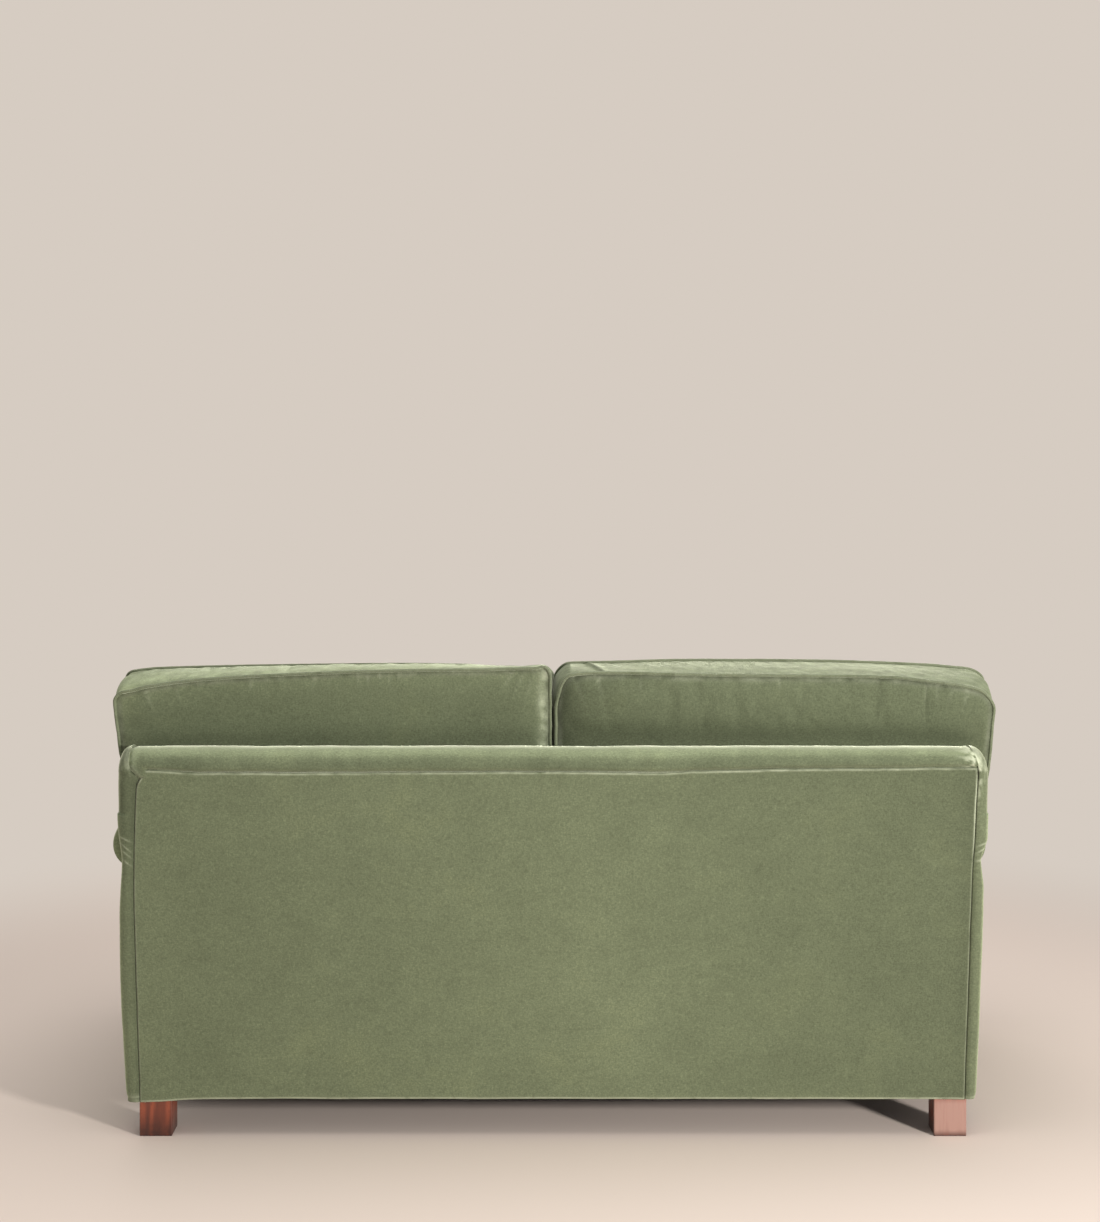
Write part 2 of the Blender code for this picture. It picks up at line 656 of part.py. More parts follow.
@dataclass
class Cushion:
    """A boxed cushion: two crowned panels on one plan, joined by a boxing strip.

    outline runs anticlockwise round the plan in straight runs along u and v. shape(u, v, crown) moves a plan
    place and gives the heights of the near and far panels there. swell(outward, u, v) is the boxing's bulge
    along u and v, and place(u, v, height) puts a point in the sofa.
    """

    outline: list
    columns: list
    rows: list
    shape: Callable
    swell: Callable
    place: Callable

    def covers(self, column, row):
        """Whether the panels cover a cell of the grid."""
        u = (self.columns[column] + self.columns[column + 1]) / 2
        v = (self.rows[row] + self.rows[row + 1]) / 2
        crossings = 0
        for (u0, v0), (u1, v1) in self.edges():
            if min(v0, v1) < v < max(v0, v1) and u < u0 + (u1 - u0) * (v - v0) / (v1 - v0):
                crossings += 1
        return crossings % 2 == 1

    def edges(self):
        """The straight runs of the outline."""
        return list(zip(self.outline, self.outline[1:] + self.outline[:1]))

    def crown(self, u, v):
        """The share of the full crown at a plan place, rising from the nearest edge."""
        nearest = []
        for (u0, v0), (u1, v1) in self.edges():
            along = (u - u0) * (u1 - u0) + (v - v0) * (v1 - v0)
            share = min(max(along / ((u1 - u0) ** 2 + (v1 - v0) ** 2), 0), 1)
            nearest.append(math.hypot(u - u0 - share * (u1 - u0), v - v0 - share * (v1 - v0)))
        share = min(min(nearest) / CROWN_REACH, 1)
        return 1 - (1 - share) ** 2

    def rounded(self, u, v):
        """A plan place, pulled onto the round where it is one of the outline's outward corners."""
        pull = CUSHION_CORNER * (1 - math.cos(math.pi / 4))
        count = len(self.outline)
        for index, corner in enumerate(self.outline):
            if math.hypot(u - corner[0], v - corner[1]) > GAP:
                continue
            arrive = Vector(corner) - Vector(self.outline[index - 1])
            leave = Vector(self.outline[(index + 1) % count]) - Vector(corner)
            if arrive.cross(leave) > 0:
                inward = (leave.normalized() - arrive.normalized()) * pull
                return u + inward.x, v + inward.y
        return u, v

    def rim(self, cells):
        """The directed grid runs round the panels: which grid corner follows which."""
        runs = set()
        for column, row in cells:
            ring = [(column, row), (column + 1, row), (column + 1, row + 1), (column, row + 1)]
            for run in zip(ring, ring[1:] + ring[:1]):
                if run[::-1] in runs:
                    runs.remove(run[::-1])
                else:
                    runs.add(run)
        return dict(runs)

    def boxing(self, form, moved, outward, ends):
        """The points down the boxing at one corner of the grid, from the near panel to the far one."""
        u, v, near, far = moved
        swell_u, swell_v = self.swell(outward, u, v)
        points = [ends[0]]
        for step in range(1, BOXING_ROWS):
            part = step / BOXING_ROWS
            out = math.sin(math.pi * part)
            place = self.place(u + swell_u * out, v + swell_v * out, near + (far - near) * part)
            points.append(form.verts.new(place))
        return points + [ends[1]]

    def build(self, name, material):
        """The finished cushion."""
        cells = [(column, row) for column in range(len(self.columns) - 1)
                 for row in range(len(self.rows) - 1) if self.covers(column, row)]
        used = sorted({(c + right, r + up) for c, r in cells for right in (0, 1) for up in (0, 1)})
        form = bmesh.new()
        moved = {}
        ends = {}
        for key in used:
            u, v = self.rounded(self.columns[key[0]], self.rows[key[1]])
            moved[key] = self.shape(u, v, self.crown(u, v))
            ends[key] = [form.verts.new(self.place(*moved[key][:2], height)) for height in moved[key][2:]]
        for c, r in cells:
            ring = [(c, r), (c + 1, r), (c + 1, r + 1), (c, r + 1)]
            form.faces.new([ends[key][0] for key in ring])
            form.faces.new([ends[key][1] for key in reversed(ring)])
        follows = self.rim(cells)
        leads = {after: here for here, after in follows.items()}
        strips = {}
        for key in sorted(follows):
            along = Vector(moved[follows[key]][:2]) - Vector(moved[leads[key]][:2])
            outward = Vector((along.y, -along.x)).normalized()
            strips[key] = self.boxing(form, moved[key], outward, ends[key])
        for here, after in sorted(follows.items()):
            for step in range(BOXING_ROWS):
                form.faces.new((strips[here][step], strips[after][step],
                                strips[after][step + 1], strips[here][step + 1]))
        piece = add_piece(name, form, material)
        piece.data.shade_smooth()
        piece.data.set_sharp_from_angle(angle=CUSHION_SMOOTHING)
        return piece


def grid_lines(low, high, count, fixed=()):
    """Grid lines across a panel, one a corner's width in from each edge, some moved to fixed places."""
    inner = count - 2
    span = high - low - 2 * CUSHION_CORNER
    lines = [low] + [low + CUSHION_CORNER + span * step / inner for step in range(inner + 1)] + [high]
    for place in fixed:
        nearest = min(range(len(lines)), key=lambda index: abs(lines[index] - place))
        lines[nearest] = place
    return lines


def seat_cushion(side, sign, material):
    """A loose seat cushion: flat below, crowned above, its front boxing a little proud of the arms."""
    front = -SOFA_DEPTH / 2 + SEAT_BOXING_BULGE
    rear = lean(BACK_THICKNESS, SEAT_BOTTOM) - GAP
    middle = ((CUSHION_INNER + CUSHION_OUTER) / 2, (front + rear) / 2)
    halves = ((CUSHION_OUTER - CUSHION_INNER) / 2, (rear - front) / 2)
    under_back_cushion = lean(BACK_THICKNESS + BACK_CUSHION_EDGE, BACK_CUSHION_BOTTOM)

    def shape(u, v, crown):
        """Draws the sides in between the corners and lifts the top panel."""
        across_share, along_share = [max(min((place - centre) / (half - CUSHION_CORNER), 1), -1)
                                     for place, centre, half in zip((u, v), middle, halves)]
        moved_u = u - SEAT_DRAW_IN * across_share * (1 - along_share ** 2)
        moved_v = v - SEAT_DRAW_IN * along_share * (1 - across_share ** 2)
        return moved_u, moved_v, SEAT_EDGE_TOP + SEAT_CROWN * crown, SEAT_BOTTOM

    def swell(outward, _, v):
        """Only the free front boxing swells."""
        return 0, (-SEAT_BOXING_BULGE * max(-outward.y, 0) if v < middle[1] else 0)

    Cushion(outline=[(CUSHION_INNER, front), (CUSHION_OUTER, front), (CUSHION_OUTER, rear),
                     (CUSHION_INNER, rear)],
            columns=grid_lines(CUSHION_INNER, CUSHION_OUTER, CUSHION_COLUMNS),
            rows=grid_lines(front, rear, CUSHION_ROWS, [under_back_cushion]),
            shape=shape, swell=swell,
            place=lambda u, v, height: (sign * u, v, height)).build("seat_cushion_" + side, material)


def back_cushion(side, sign, material):
    """A loose back cushion that leans on the back, with an ear that lies over the arm."""
    rear = BACK_THICKNESS + GAP
    free_height = BACK_CUSHION_TOP - ROLL_TOP
    ear_height = BACK_CUSHION_TOP - EAR_BOTTOM

    def shape(u, v, crown):
        """Drops the top corners, crowns the front, and the rear above the top roll."""
        across_share = (u - CUSHION_INNER) / (BACK_CUSHION_REACH - CUSHION_INNER)
        droop = (BACK_OUTER_DROOP * across_share ** OUTER_DROOP_POWER
                 + BACK_INNER_DROOP * (1 - across_share) ** INNER_DROOP_POWER)
        moved_v = v - droop * max((v - EAR_BOTTOM) / ear_height, 0) ** 2
        clear_share = min(max((v - ROLL_TOP) / (free_height * REAR_CROWN_RISE_SHARE), 0), 1)
        puff = BACK_CUSHION_REAR_CROWN * crown * clear_share
        return u, moved_v, rear + BACK_CUSHION_EDGE + BACK_CUSHION_CROWN * crown, rear - puff

    def swell(outward, u, v):
        """The top and the ear's outer side swell, and what lies against something doesn't."""
        top = max(outward.y, 0) if v > ROLL_TOP else 0
        outer = max(outward.x, 0) if u > CUSHION_OUTER and v > EAR_BOTTOM + GAP else 0
        return BACK_BOXING_BULGE * outer, BACK_BOXING_BULGE * top

    def place(u, v, depth):
        """Leans the cushion back, its top a little higher in front."""
        lift = BACK_TOP_TILT * max((v - EAR_BOTTOM) / ear_height, 0) * (depth - rear) / BACK_CUSHION_EDGE
        return sign * u, lean(depth, v), v + lift

    Cushion(outline=[(CUSHION_INNER, BACK_CUSHION_BOTTOM), (CUSHION_OUTER, BACK_CUSHION_BOTTOM),
                     (CUSHION_OUTER, EAR_BOTTOM), (BACK_CUSHION_REACH, EAR_BOTTOM),
                     (BACK_CUSHION_REACH, BACK_CUSHION_TOP), (CUSHION_INNER, BACK_CUSHION_TOP)],
            columns=grid_lines(CUSHION_INNER, BACK_CUSHION_REACH, CUSHION_COLUMNS, [CUSHION_OUTER]),
            rows=grid_lines(BACK_CUSHION_BOTTOM, BACK_CUSHION_TOP, CUSHION_ROWS, [EAR_BOTTOM, ROLL_TOP]),
            shape=shape, swell=swell, place=place).build("back_cushion_" + side, material)


def loose_cushions(material):
    """Two seat cushions and two back cushions."""
    for side, sign in LEFT_AND_RIGHT:
        seat_cushion(side, sign, material)
        back_cushion(side, sign, material)


def main():
    """Builds every piece of the sofa."""
    clear_scene()
    green, wood, steel = velvet(), beech(), spring_steel()
    seat_rails(wood)
    corner_blocks(wood)
    back_posts = back_frame(wood)
    front_posts = arm_frames(wood)
    posts = {"rear_left": back_posts[0], "rear_right": back_posts[1],
             "front_left": front_posts[0], "front_right": front_posts[1]}
    feet_and_bolts(posts, stained_wood(), steel)
    seat_springs(steel)
    back_webbing(elastic_webbing())
    seat_deck(deck_cloth())
    dust_cover(black_cloth())
    outside_back(green)
    back_borders(green)
    inside_back(green)
    back_roll(green)
    arm_pads(green)
    arm_facings(green)
    outside_arms(green)
    front_border(green)
    loose_cushions(green)


main()
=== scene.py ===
"""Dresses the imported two-seater sofa: velvet covers, loose piped cushions, wooden feet and a plain studio.

The sofa faces -Y and +Z is up. Left is the side of the sitter's left hand, +X. Everything is in metres.
"""

import json
import logging
from bisect import bisect_right
from dataclasses import dataclass, field
from enum import Enum
from math import acos, copysign, cos, exp, hypot, log, pi, radians, sin, sqrt, tan
from typing import Any, Callable, Dict, List, Optional, Sequence, Set, Tuple, Union

import bmesh
import bpy
import numpy as np
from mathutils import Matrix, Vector, noise

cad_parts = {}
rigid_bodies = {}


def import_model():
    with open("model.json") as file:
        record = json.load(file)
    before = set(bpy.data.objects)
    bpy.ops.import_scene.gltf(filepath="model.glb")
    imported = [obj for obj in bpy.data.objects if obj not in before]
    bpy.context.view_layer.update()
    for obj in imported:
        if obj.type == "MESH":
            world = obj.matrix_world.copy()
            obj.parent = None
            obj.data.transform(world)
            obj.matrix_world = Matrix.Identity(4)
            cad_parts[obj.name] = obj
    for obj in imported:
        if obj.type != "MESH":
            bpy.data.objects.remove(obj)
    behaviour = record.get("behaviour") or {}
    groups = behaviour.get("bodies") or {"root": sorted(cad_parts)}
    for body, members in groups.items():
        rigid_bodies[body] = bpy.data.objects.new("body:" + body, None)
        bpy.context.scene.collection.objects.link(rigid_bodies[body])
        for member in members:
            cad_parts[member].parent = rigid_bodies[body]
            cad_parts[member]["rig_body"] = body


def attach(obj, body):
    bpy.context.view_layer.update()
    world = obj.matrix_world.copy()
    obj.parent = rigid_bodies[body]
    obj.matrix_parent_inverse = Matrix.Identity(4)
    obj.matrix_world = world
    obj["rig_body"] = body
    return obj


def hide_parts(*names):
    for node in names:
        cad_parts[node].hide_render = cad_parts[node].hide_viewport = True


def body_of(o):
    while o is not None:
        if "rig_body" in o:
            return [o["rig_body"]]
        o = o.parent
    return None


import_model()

LOG = logging.getLogger("sofa")

Colour = Tuple[float, float, float]
Point = Tuple[float, float, float]
Pair = Tuple[float, float]
Number = Union[float, "Wire"]
Mark = Tuple[Point, float, float]
Ring = List[Mark]
Object = bpy.types.Object

FRAME_BODY = "sofa_frame"
VELVET_SLOT = "green_velvet"
HEM = 0.0703
ROLL_BASE = 0.6835
EDGE_STEPS = (0.0004, 0.0009, 0.0015, 0.0022, 0.003, 0.0042, 0.006, 0.0085, 0.012, 0.017)


# Shader and geometry nodes


def _operator(operation: str, swapped: bool = False) -> Callable[["Wire", Number], "Wire"]:
    """Makes a method of Wire for an operation of Python.

    Args:
        operation: The Math node's operation.
        swapped: Whether the other number comes first.

    Returns:
        The method.
    """
    def apply(wire: "Wire", other: Number) -> "Wire":
        """The result of a Math node on the two numbers."""
        terms = (other, wire) if swapped else (wire, other)
        return wire.tree.node("ShaderNodeMath", dict(enumerate(terms)), operation=operation)[0]
    return apply


class Wire:
    """A value on a node's output. Where it is a number, it can be used in Python arithmetic."""

    __add__ = __radd__ = _operator("ADD")
    __mul__ = __rmul__ = _operator("MULTIPLY")
    __sub__ = _operator("SUBTRACT")
    __rsub__ = _operator("SUBTRACT", True)
    __rtruediv__ = _operator("DIVIDE", True)
    __rpow__ = _operator("POWER", True)

    def __init__(self, tree: "Tree", socket: bpy.types.NodeSocket) -> None:
        """Keeps the tree and the output socket."""
        self.tree = tree
        self.socket = socket

    def between(self, low: float, high: float) -> "Wire":
        """Where this lies between two numbers, as a smooth share from 0 to 1."""
        inputs = {0: self, 1: low, 2: high}
        return self.tree.node("ShaderNodeMapRange", inputs, interpolation_type="SMOOTHSTEP")[0]


class Node:
    """A node that was just made."""

    def __init__(self, tree: "Tree", node: bpy.types.Node) -> None:
        """Keeps the tree and its node."""
        self.tree = tree
        self.node = node

    def __getitem__(self, key: Union[int, str]) -> Wire:
        """An output by its place or name."""
        return Wire(self.tree, self.node.outputs[key])


class Tree:
    """A node tree under construction."""

    def __init__(self, nodes: bpy.types.NodeTree) -> None:
        """Empties a tree, to fill it."""
        self.nodes = nodes
        self.nodes.nodes.clear()

    def node(self, kind: str, inputs: Optional[Dict[Union[int, str], Any]] = None, **settings: Any) -> Node:
        """Makes a node of any type.

        Args:
            kind: The node's type.
            inputs: Values or links by the input's place or name.
            settings: The node's own settings, set before its inputs.

        Returns:
            The node.
        """
        made = self.nodes.nodes.new(kind)
        for name, value in settings.items():
            setattr(made, name, value)
        for key, value in (inputs or {}).items():
            if isinstance(value, Node):
                value = value[0]
            if isinstance(value, Wire):
                self.nodes.links.new(value.socket, made.inputs[key])
            else:
                made.inputs[key].default_value = value
        return Node(self, made)

    def noise(self, size: float, detail: float = 3.0, vector: Any = None, rough: float = 0.5) -> Wire:
        """Smooth noise from 0 to 1.

        Args:
            size: The rough size of its blotches, in the units of the vector.
            detail: How many finer layers it has.
            vector: Where it is read; the object's own place if left out.
            rough: How strong the finer layers are.

        Returns:
            The noise's value.
        """
        inputs = {"Scale": 1.0 / size, "Detail": detail, "Roughness": rough}
        inputs["Vector"] = self.place() if vector is None else vector
        return self.node("ShaderNodeTexNoise", inputs)["Fac"]

    def place(self) -> Wire:
        """The place on the object, in its own metres."""
        return self.node("ShaderNodeTexCoord")["Object"]

    def place_part(self, axis: str) -> Wire:
        """One coordinate of the place on the object."""
        return self.node("ShaderNodeSeparateXYZ", {0: self.place()})[axis]

    def stretched(self, scale: Point) -> Wire:
        """The place on the object, scaled along X, Y and Z."""
        return self.node("ShaderNodeMapping", {"Vector": self.place(), "Scale": scale})[0]

    def bands(self, vector: Any, scale: float, direction: str, **inputs: float) -> Wire:
        """Waves in even bands, from 0 to 1.

        Args:
            vector: Where they are read.
            scale: How close they lie.
            direction: The axis that they follow each other along.
            inputs: How distorted they are.

        Returns:
            The value.
        """
        values = {"Vector": vector, "Scale": scale}
        values.update((name.replace("_", " "), value) for name, value in inputs.items())
        return self.node("ShaderNodeTexWave", values, wave_type="BANDS", bands_direction=direction)["Fac"]

    def mix(self, share: Number, first: Any, second: Any) -> Wire:
        """Mixes two colours.

        Args:
            share: How much of the second colour.
            first: The first colour, or its socket.
            second: The second colour, or its socket.

        Returns:
            The mixed colour.
        """
        inputs = {0: share}
        for key, colour in ((6, first), (7, second)):
            inputs[key] = (*colour, 1.0) if isinstance(colour, tuple) else colour
        return self.node("ShaderNodeMix", inputs, data_type="RGBA")[2]

    def bump(self, height: Wire, strength: float, distance: float) -> Wire:
        """A normal bumped by a height, where a value of 1 stands some distance out."""
        inputs = {"Height": height, "Strength": strength, "Distance": distance}
        return self.node("ShaderNodeBump", inputs)[0]


@dataclass(frozen=True)
class Finish:
    """What every finish has: a name and the even values of its surface."""

    name: str
    roughness: float = 0.8
    specular: float = 0.5
    metallic: float = 0.0

    def paint(self, tree: Tree) -> Dict[str, Any]:
        """The shader inputs, by name, that change over the surface or differ from the even values."""
        raise NotImplementedError

    def make(self) -> bpy.types.Material:
        """Builds the material.

        Returns:
            The finished material.
        """
        material = bpy.data.materials.new(self.name)
        material.use_nodes = True
        tree = Tree(material.node_tree)
        inputs = {"Roughness": self.roughness, "Specular IOR Level": self.specular, "Metallic": self.metallic}
        inputs.update(self.paint(tree))
        shader = tree.node("ShaderNodeBsdfPrincipled", inputs)
        tree.node("ShaderNodeOutputMaterial", {"Surface": shader})
        return material


@dataclass(frozen=True)
class Velvet(Finish):
    """Cotton velvet: a deep matt pile, mottled where it was brushed, pale where it is crushed and where
    highlights are painted.
    """

    name: str = "green_velvet_pile"
    roughness: float = 0.92
    specular: float = 0.12
    colour: Colour = (0.132, 0.153, 0.09)
    yellow: Colour = (0.156, 0.172, 0.086)
    pale_nap_and_highlight: Colour = (0.56, 0.6, 0.44)
    sheen: float = 1.0
    sheen_roughness: float = 0.3
    sheen_tint: Colour = (0.86, 0.9, 0.7)

    def paint(self, tree: Tree) -> Dict[str, Any]:
        """Mottled pile whose tone also follows two attributes of the pieces: their tone, which holds painted
        shade and highlights, and the one that paints crushed pile and highlights pale.

        Args:
            tree: The material's tree.

        Returns:
            The shader inputs by name.
        """
        tone, crush = (tree.node("ShaderNodeAttribute", attribute_name=name)["Fac"]
                       for name in ("tone", "crush"))
        broad = tree.noise(0.42, 2.0)
        patches = tree.noise(0.11, 5.0, rough=0.62)
        cloudy = tree.noise(0.035, 4.0, rough=0.6)
        streaks = tree.noise(1.0, 4.0, tree.stretched((14.0, 14.0, 55.0)), 0.65)
        across = tree.noise(1.0, 2.0, tree.stretched((170.0, 170.0, 560.0)), 0.6)
        upwards = tree.noise(1.0, 2.0, tree.stretched((560.0, 560.0, 150.0)), 0.6)
        speckle = tree.noise(0.0034, 3.0, rough=0.75) * 0.5 + across * 0.28 + upwards * 0.22
        tufts = tree.noise(0.0011, 1.0)
        lie = (broad - 0.5) * 0.34 + (patches - 0.5) * 0.42 + (cloudy - 0.5) * 0.22 + (streaks - 0.5) * 0.2
        power = 2.0 ** (tone + lie + (speckle - 0.5) * 3.0)
        yellowing = patches.between(0.5, 0.72) * broad.between(0.42, 0.62) * 0.18
        inputs = {0: tree.mix(yellowing, self.colour, self.yellow), "Scale": power}
        toned = tree.node("ShaderNodeVectorMath", inputs, operation="SCALE")[0]
        # Mixes in the pale colour where the pile is crushed and where a highlight is painted.
        pale_mix = crush * (0.45 + 0.75 * speckle) * cloudy.between(0.2, 0.52)
        nap = tree.bump(speckle * 0.7 + tufts * 0.5 + cloudy * 0.6, 0.35, 0.0012)
        return {"Base Color": tree.mix(pale_mix, toned, self.pale_nap_and_highlight), "Normal": nap, "Sheen Weight": self.sheen,
                "Sheen Roughness": self.sheen_roughness, "Sheen Tint": (*self.sheen_tint, 1.0)}


class Grain(Enum):
    """The axis that a timber's grain runs along."""

    ALONG_X = (2.2, 30.0, 30.0)
    ALONG_Y = (30.0, 2.2, 30.0)
    ALONG_Z = (30.0, 30.0, 2.2)
    FINE_Z = (85.0, 85.0, 7.0)


@dataclass(frozen=True)
class Timber(Finish):
    """Planed timber with long grain and fine pores."""

    name: str = "beech_timber"
    roughness: float = 0.62
    specular: float = 0.35
    grain: Grain = Grain.ALONG_X
    pale: Colour = (0.6, 0.42, 0.25)
    dark: Colour = (0.42, 0.26, 0.14)

    def paint(self, tree: Tree) -> Dict[str, Any]:
        """Grain along one axis, with pores across it.

        Args:
            tree: The material's tree.

        Returns:
            The shader inputs by name.
        """
        along = tree.stretched(self.grain.value)
        fibres = tree.noise(1.0, 5.0, along, 0.6)
        rings = tree.bands(along, 0.35, "DIAGONAL", Distortion=7.0, Detail=3.0, Detail_Scale=1.2)
        pores = tree.noise(0.09, 2.0, along, 0.5)
        colour = tree.mix((fibres * 0.6 + rings * 0.4).between(0.25, 0.75), self.pale, self.dark)
        colour = tree.mix(pores.between(0.6, 0.72) * 0.45, colour, self.darker(0.45))
        return {"Base Color": self.wear_and_light(tree, colour, fibres),
                "Roughness": self.roughness + (fibres - 0.5) * 0.25,
                "Normal": tree.bump(fibres * 0.5 + pores * 0.5, 0.12, 0.0006)}

    def darker(self, share: float) -> Colour:
        """The dark grain's colour, darkened to a share of itself."""
        return tuple(share * part for part in self.dark)

    def wear_and_light(self, tree: Tree, colour: Any, fibres: Wire) -> Any:
        """The colour after the darkening and painted light that some timber has; plain timber has none."""
        return colour


@dataclass(frozen=True)
class FootWood(Timber):
    """Stained and varnished foot wood, darker near the floor, with painted light on the right foot's rear
    face.
    """

    name: str = "stained_foot_wood"
    roughness: float = 0.46
    specular: float = 0.5
    grain: Grain = Grain.FINE_Z
    pale: Colour = (0.255, 0.055, 0.022)
    dark: Colour = (0.122, 0.026, 0.012)
    low_dark: float = 0.96
    low_dark_height: float = 0.056
    # Painted light: the pale colour of the right foot's lit rear face.
    painted_lit_face: Colour = (0.325, 0.184, 0.148)

    def paint(self, tree: Tree) -> Dict[str, Any]:
        """The timber under a thin varnish."""
        return {**super().paint(tree), "Coat Weight": 0.3, "Coat Roughness": 0.28}

    def wear_and_light(self, tree: Tree, colour: Any, fibres: Wire) -> Any:
        """The colour, darker near the floor, with painted light on the right foot's rear face.

        Args:
            tree: The material's tree.
            colour: The grain's colour.
            fibres: The fibres' noise.

        Returns:
            The worn colour.
        """
        x, y, z = (tree.place_part(axis) for axis in "XYZ")
        low = (1.0 - z.between(0.0, self.low_dark_height)) * (0.5 + 0.75 * tree.noise(0.012))
        colour = tree.mix(low * self.low_dark, colour, self.darker(0.22))
        # Painted light on the right foot's rear face, less near its top.
        share = (1.0 - x.between(-0.4, 0.4)) * y.between(0.3755, 0.3815)
        share = share * z.between(-0.002, 0.014) * (fibres * 1.3 + 0.3)
        share = share * (1.0 - z.between(0.058, 0.072) * 0.5)
        return tree.mix(share, colour, self.painted_lit_face)


@dataclass(frozen=True)
class Steel(Finish):
    """Drawn steel wire and studs."""

    name: str = "drawn_steel"
    roughness: float = 0.34
    metallic: float = 1.0
    colour: Colour = (0.55, 0.55, 0.56)
    tarnish: Colour = (0.26, 0.25, 0.25)

    def paint(self, tree: Tree) -> Dict[str, Any]:
        """Bright steel, a little tarnished in patches.

        Args:
            tree: The material's tree.

        Returns:
            The shader inputs by name.
        """
        dull = tree.noise(0.03, 4.0, rough=0.6)
        return {"Base Color": tree.mix(dull.between(0.45, 0.75) * 0.6, self.colour, self.tarnish),
                "Roughness": self.roughness + dull * 0.2,
                "Normal": tree.bump(tree.noise(0.0016, 2.0), 0.1, 0.0004)}


@dataclass(frozen=True)
class Woven(Finish):
    """A plain weave of warp and weft threads."""

    name: str = "lining_weave"
    roughness: float = 0.93
    specular: float = 0.15
    thread: float = 0.0011
    high: Colour = (0.15, 0.168, 0.098)
    low: Colour = (0.085, 0.096, 0.055)
    axes: Tuple[str, str] = ("X", "Y")

    def paint(self, tree: Tree) -> Dict[str, Any]:
        """Threads that cross over and under, with slubs.

        Args:
            tree: The material's tree.

        Returns:
            The shader inputs by name.
        """
        warp, weft = (tree.bands(tree.place(), 0.314 / self.thread, axis, Distortion=0.6, Detail=1.0)
                      for axis in self.axes)
        height = warp * weft + (tree.noise(0.012, 4.0, rough=0.65) - 0.5) * 0.5
        return {"Base Color": tree.mix(height.between(0.05, 0.85), self.low, self.high),
                "Normal": tree.bump(height, 0.4, 0.0005)}


# Shapes


class Side(Enum):
    """A side of the sofa, as the sitter names it."""

    LEFT = 1
    RIGHT = -1

    @property
    def word(self) -> str:
        """The side's name in the nodes' names."""
        return self.name.lower()

    @classmethod
    def of(cls, x: float) -> "Side":
        """The side that a place across the sofa lies on."""
        return cls.LEFT if x >= 0 else cls.RIGHT

    def pick(self, left: Any, right: Any) -> Any:
        """The one of two values that belongs to this side."""
        return left if self is Side.LEFT else right


def sided(left: Any, right: Any) -> Any:
    """A dataclass field that holds one value for each side."""
    return field(default_factory=lambda: {Side.LEFT: left, Side.RIGHT: right})


@dataclass(frozen=True)
class Curve:
    """A smooth line through a table of places and values."""

    table: Tuple[Pair, ...]

    def __call__(self, at: float) -> float:
        """The value at a place, level beyond both ends.

        Args:
            at: The place.

        Returns:
            The value there.
        """
        places, values = zip(*self.table)
        if at <= places[0]:
            return values[0]
        if at >= places[-1]:
            return values[-1]
        here = bisect_right(places, at) - 1
        span = places[here + 1] - places[here]
        share = (at - places[here]) / span
        rise = values[here + 1] - values[here]
        slopes = [self._slope(places, values, index) * span for index in (here, here + 1)]
        return (values[here] + share * slopes[0] + share ** 2 * (3 * rise - 2 * slopes[0] - slopes[1])
                + share ** 3 * (slopes[0] + slopes[1] - 2 * rise))

    @staticmethod
    def _slope(places: Sequence[float], values: Sequence[float], index: int) -> float:
        """The line's slope at one of its places, level where it turns.

        Args:
            places: The table's places.
            values: The table's values.
            index: Which place.

        Returns:
            The slope.
        """
        if index in (0, len(places) - 1):
            return 0.0
        before = (values[index] - values[index - 1]) / (places[index] - places[index - 1])
        after = (values[index + 1] - values[index]) / (places[index + 1] - places[index])
        return 0.0 if before * after <= 0 else 2 * before * after / (before + after)


@dataclass(frozen=True)
class Rake:
    """The leaning rear face of the sofa."""

    rear: float = 0.456
    angle: float = radians(6.5)

    def y(self, depth: float, z: float) -> float:
        """Y of a plane that lies some depth in front of the rear face, at a height."""
        return self.rear - (ROLL_BASE - z) * tan(self.angle) - depth


RAKE = Rake()


def unit(value: float) -> float:
    """A value held between 0 and 1."""
    return min(max(value, 0.0), 1.0)


def smooth(value: float) -> float:
    """A value held between 0 and 1, eased at both ends."""
    share = unit(value)
    return share * share * (3 - 2 * share)


def bell(distance: float, width: float) -> float:
    """A smooth rise to 1 where the distance is none."""
    return exp(-(distance / width) ** 2)


def ripple(place: Sequence[float], size: float, seed: float) -> float:
    """Smooth waves of a rough length between about -1 and 1, where the seed sets apart one set of waves."""
    return noise.noise(Vector(place) / size + Vector((seed, 1.7 * seed, -seed)))


def wear(place: Sequence[float], size: float, seed: float) -> float:
    """Smooth waves between about 0 and 1."""
    return 0.5 + 0.5 * ripple(place, size, seed)


def flecks(place: Sequence[float], size: float, seed: float) -> float:
    """Waves that are mostly 0 or 1."""
    return unit(0.5 + 2.2 * ripple(place, size, seed))


def spaced(low: float, high: float, step: float, low_fine: Sequence[float] = (),
           high_fine: Sequence[float] = ()) -> List[float]:
    """Even places along a line, with finer ones near its ends.

    Args:
        low: The first place.
        high: The last place.
        step: The rough distance between places.
        low_fine: Distances of the finer places from the first place.
        high_fine: Distances of the finer places from the last place.

    Returns:
        The places in order, both ends included.
    """
    low_steps, high_steps = (0.0, *low_fine), (0.0, *high_fine)
    start, end = low + low_steps[-1], high - high_steps[-1]
    count = max(1, round((end - start) / step))
    even = [start + (end - start) * index / count for index in range(count + 1)]
    return [low + part for part in low_steps[:-1]] + even + [high - part for part in high_steps[:-1]][::-1]


def power_round(angle: float, sharpness: float) -> Pair:
    """A point on a rounded square of half-width 1: sharpness 2 gives a circle, more gives squarer corners."""
    across, up = cos(angle), sin(angle)
    return copysign(abs(across) ** (2 / sharpness), across), copysign(abs(up) ** (2 / sharpness), up)


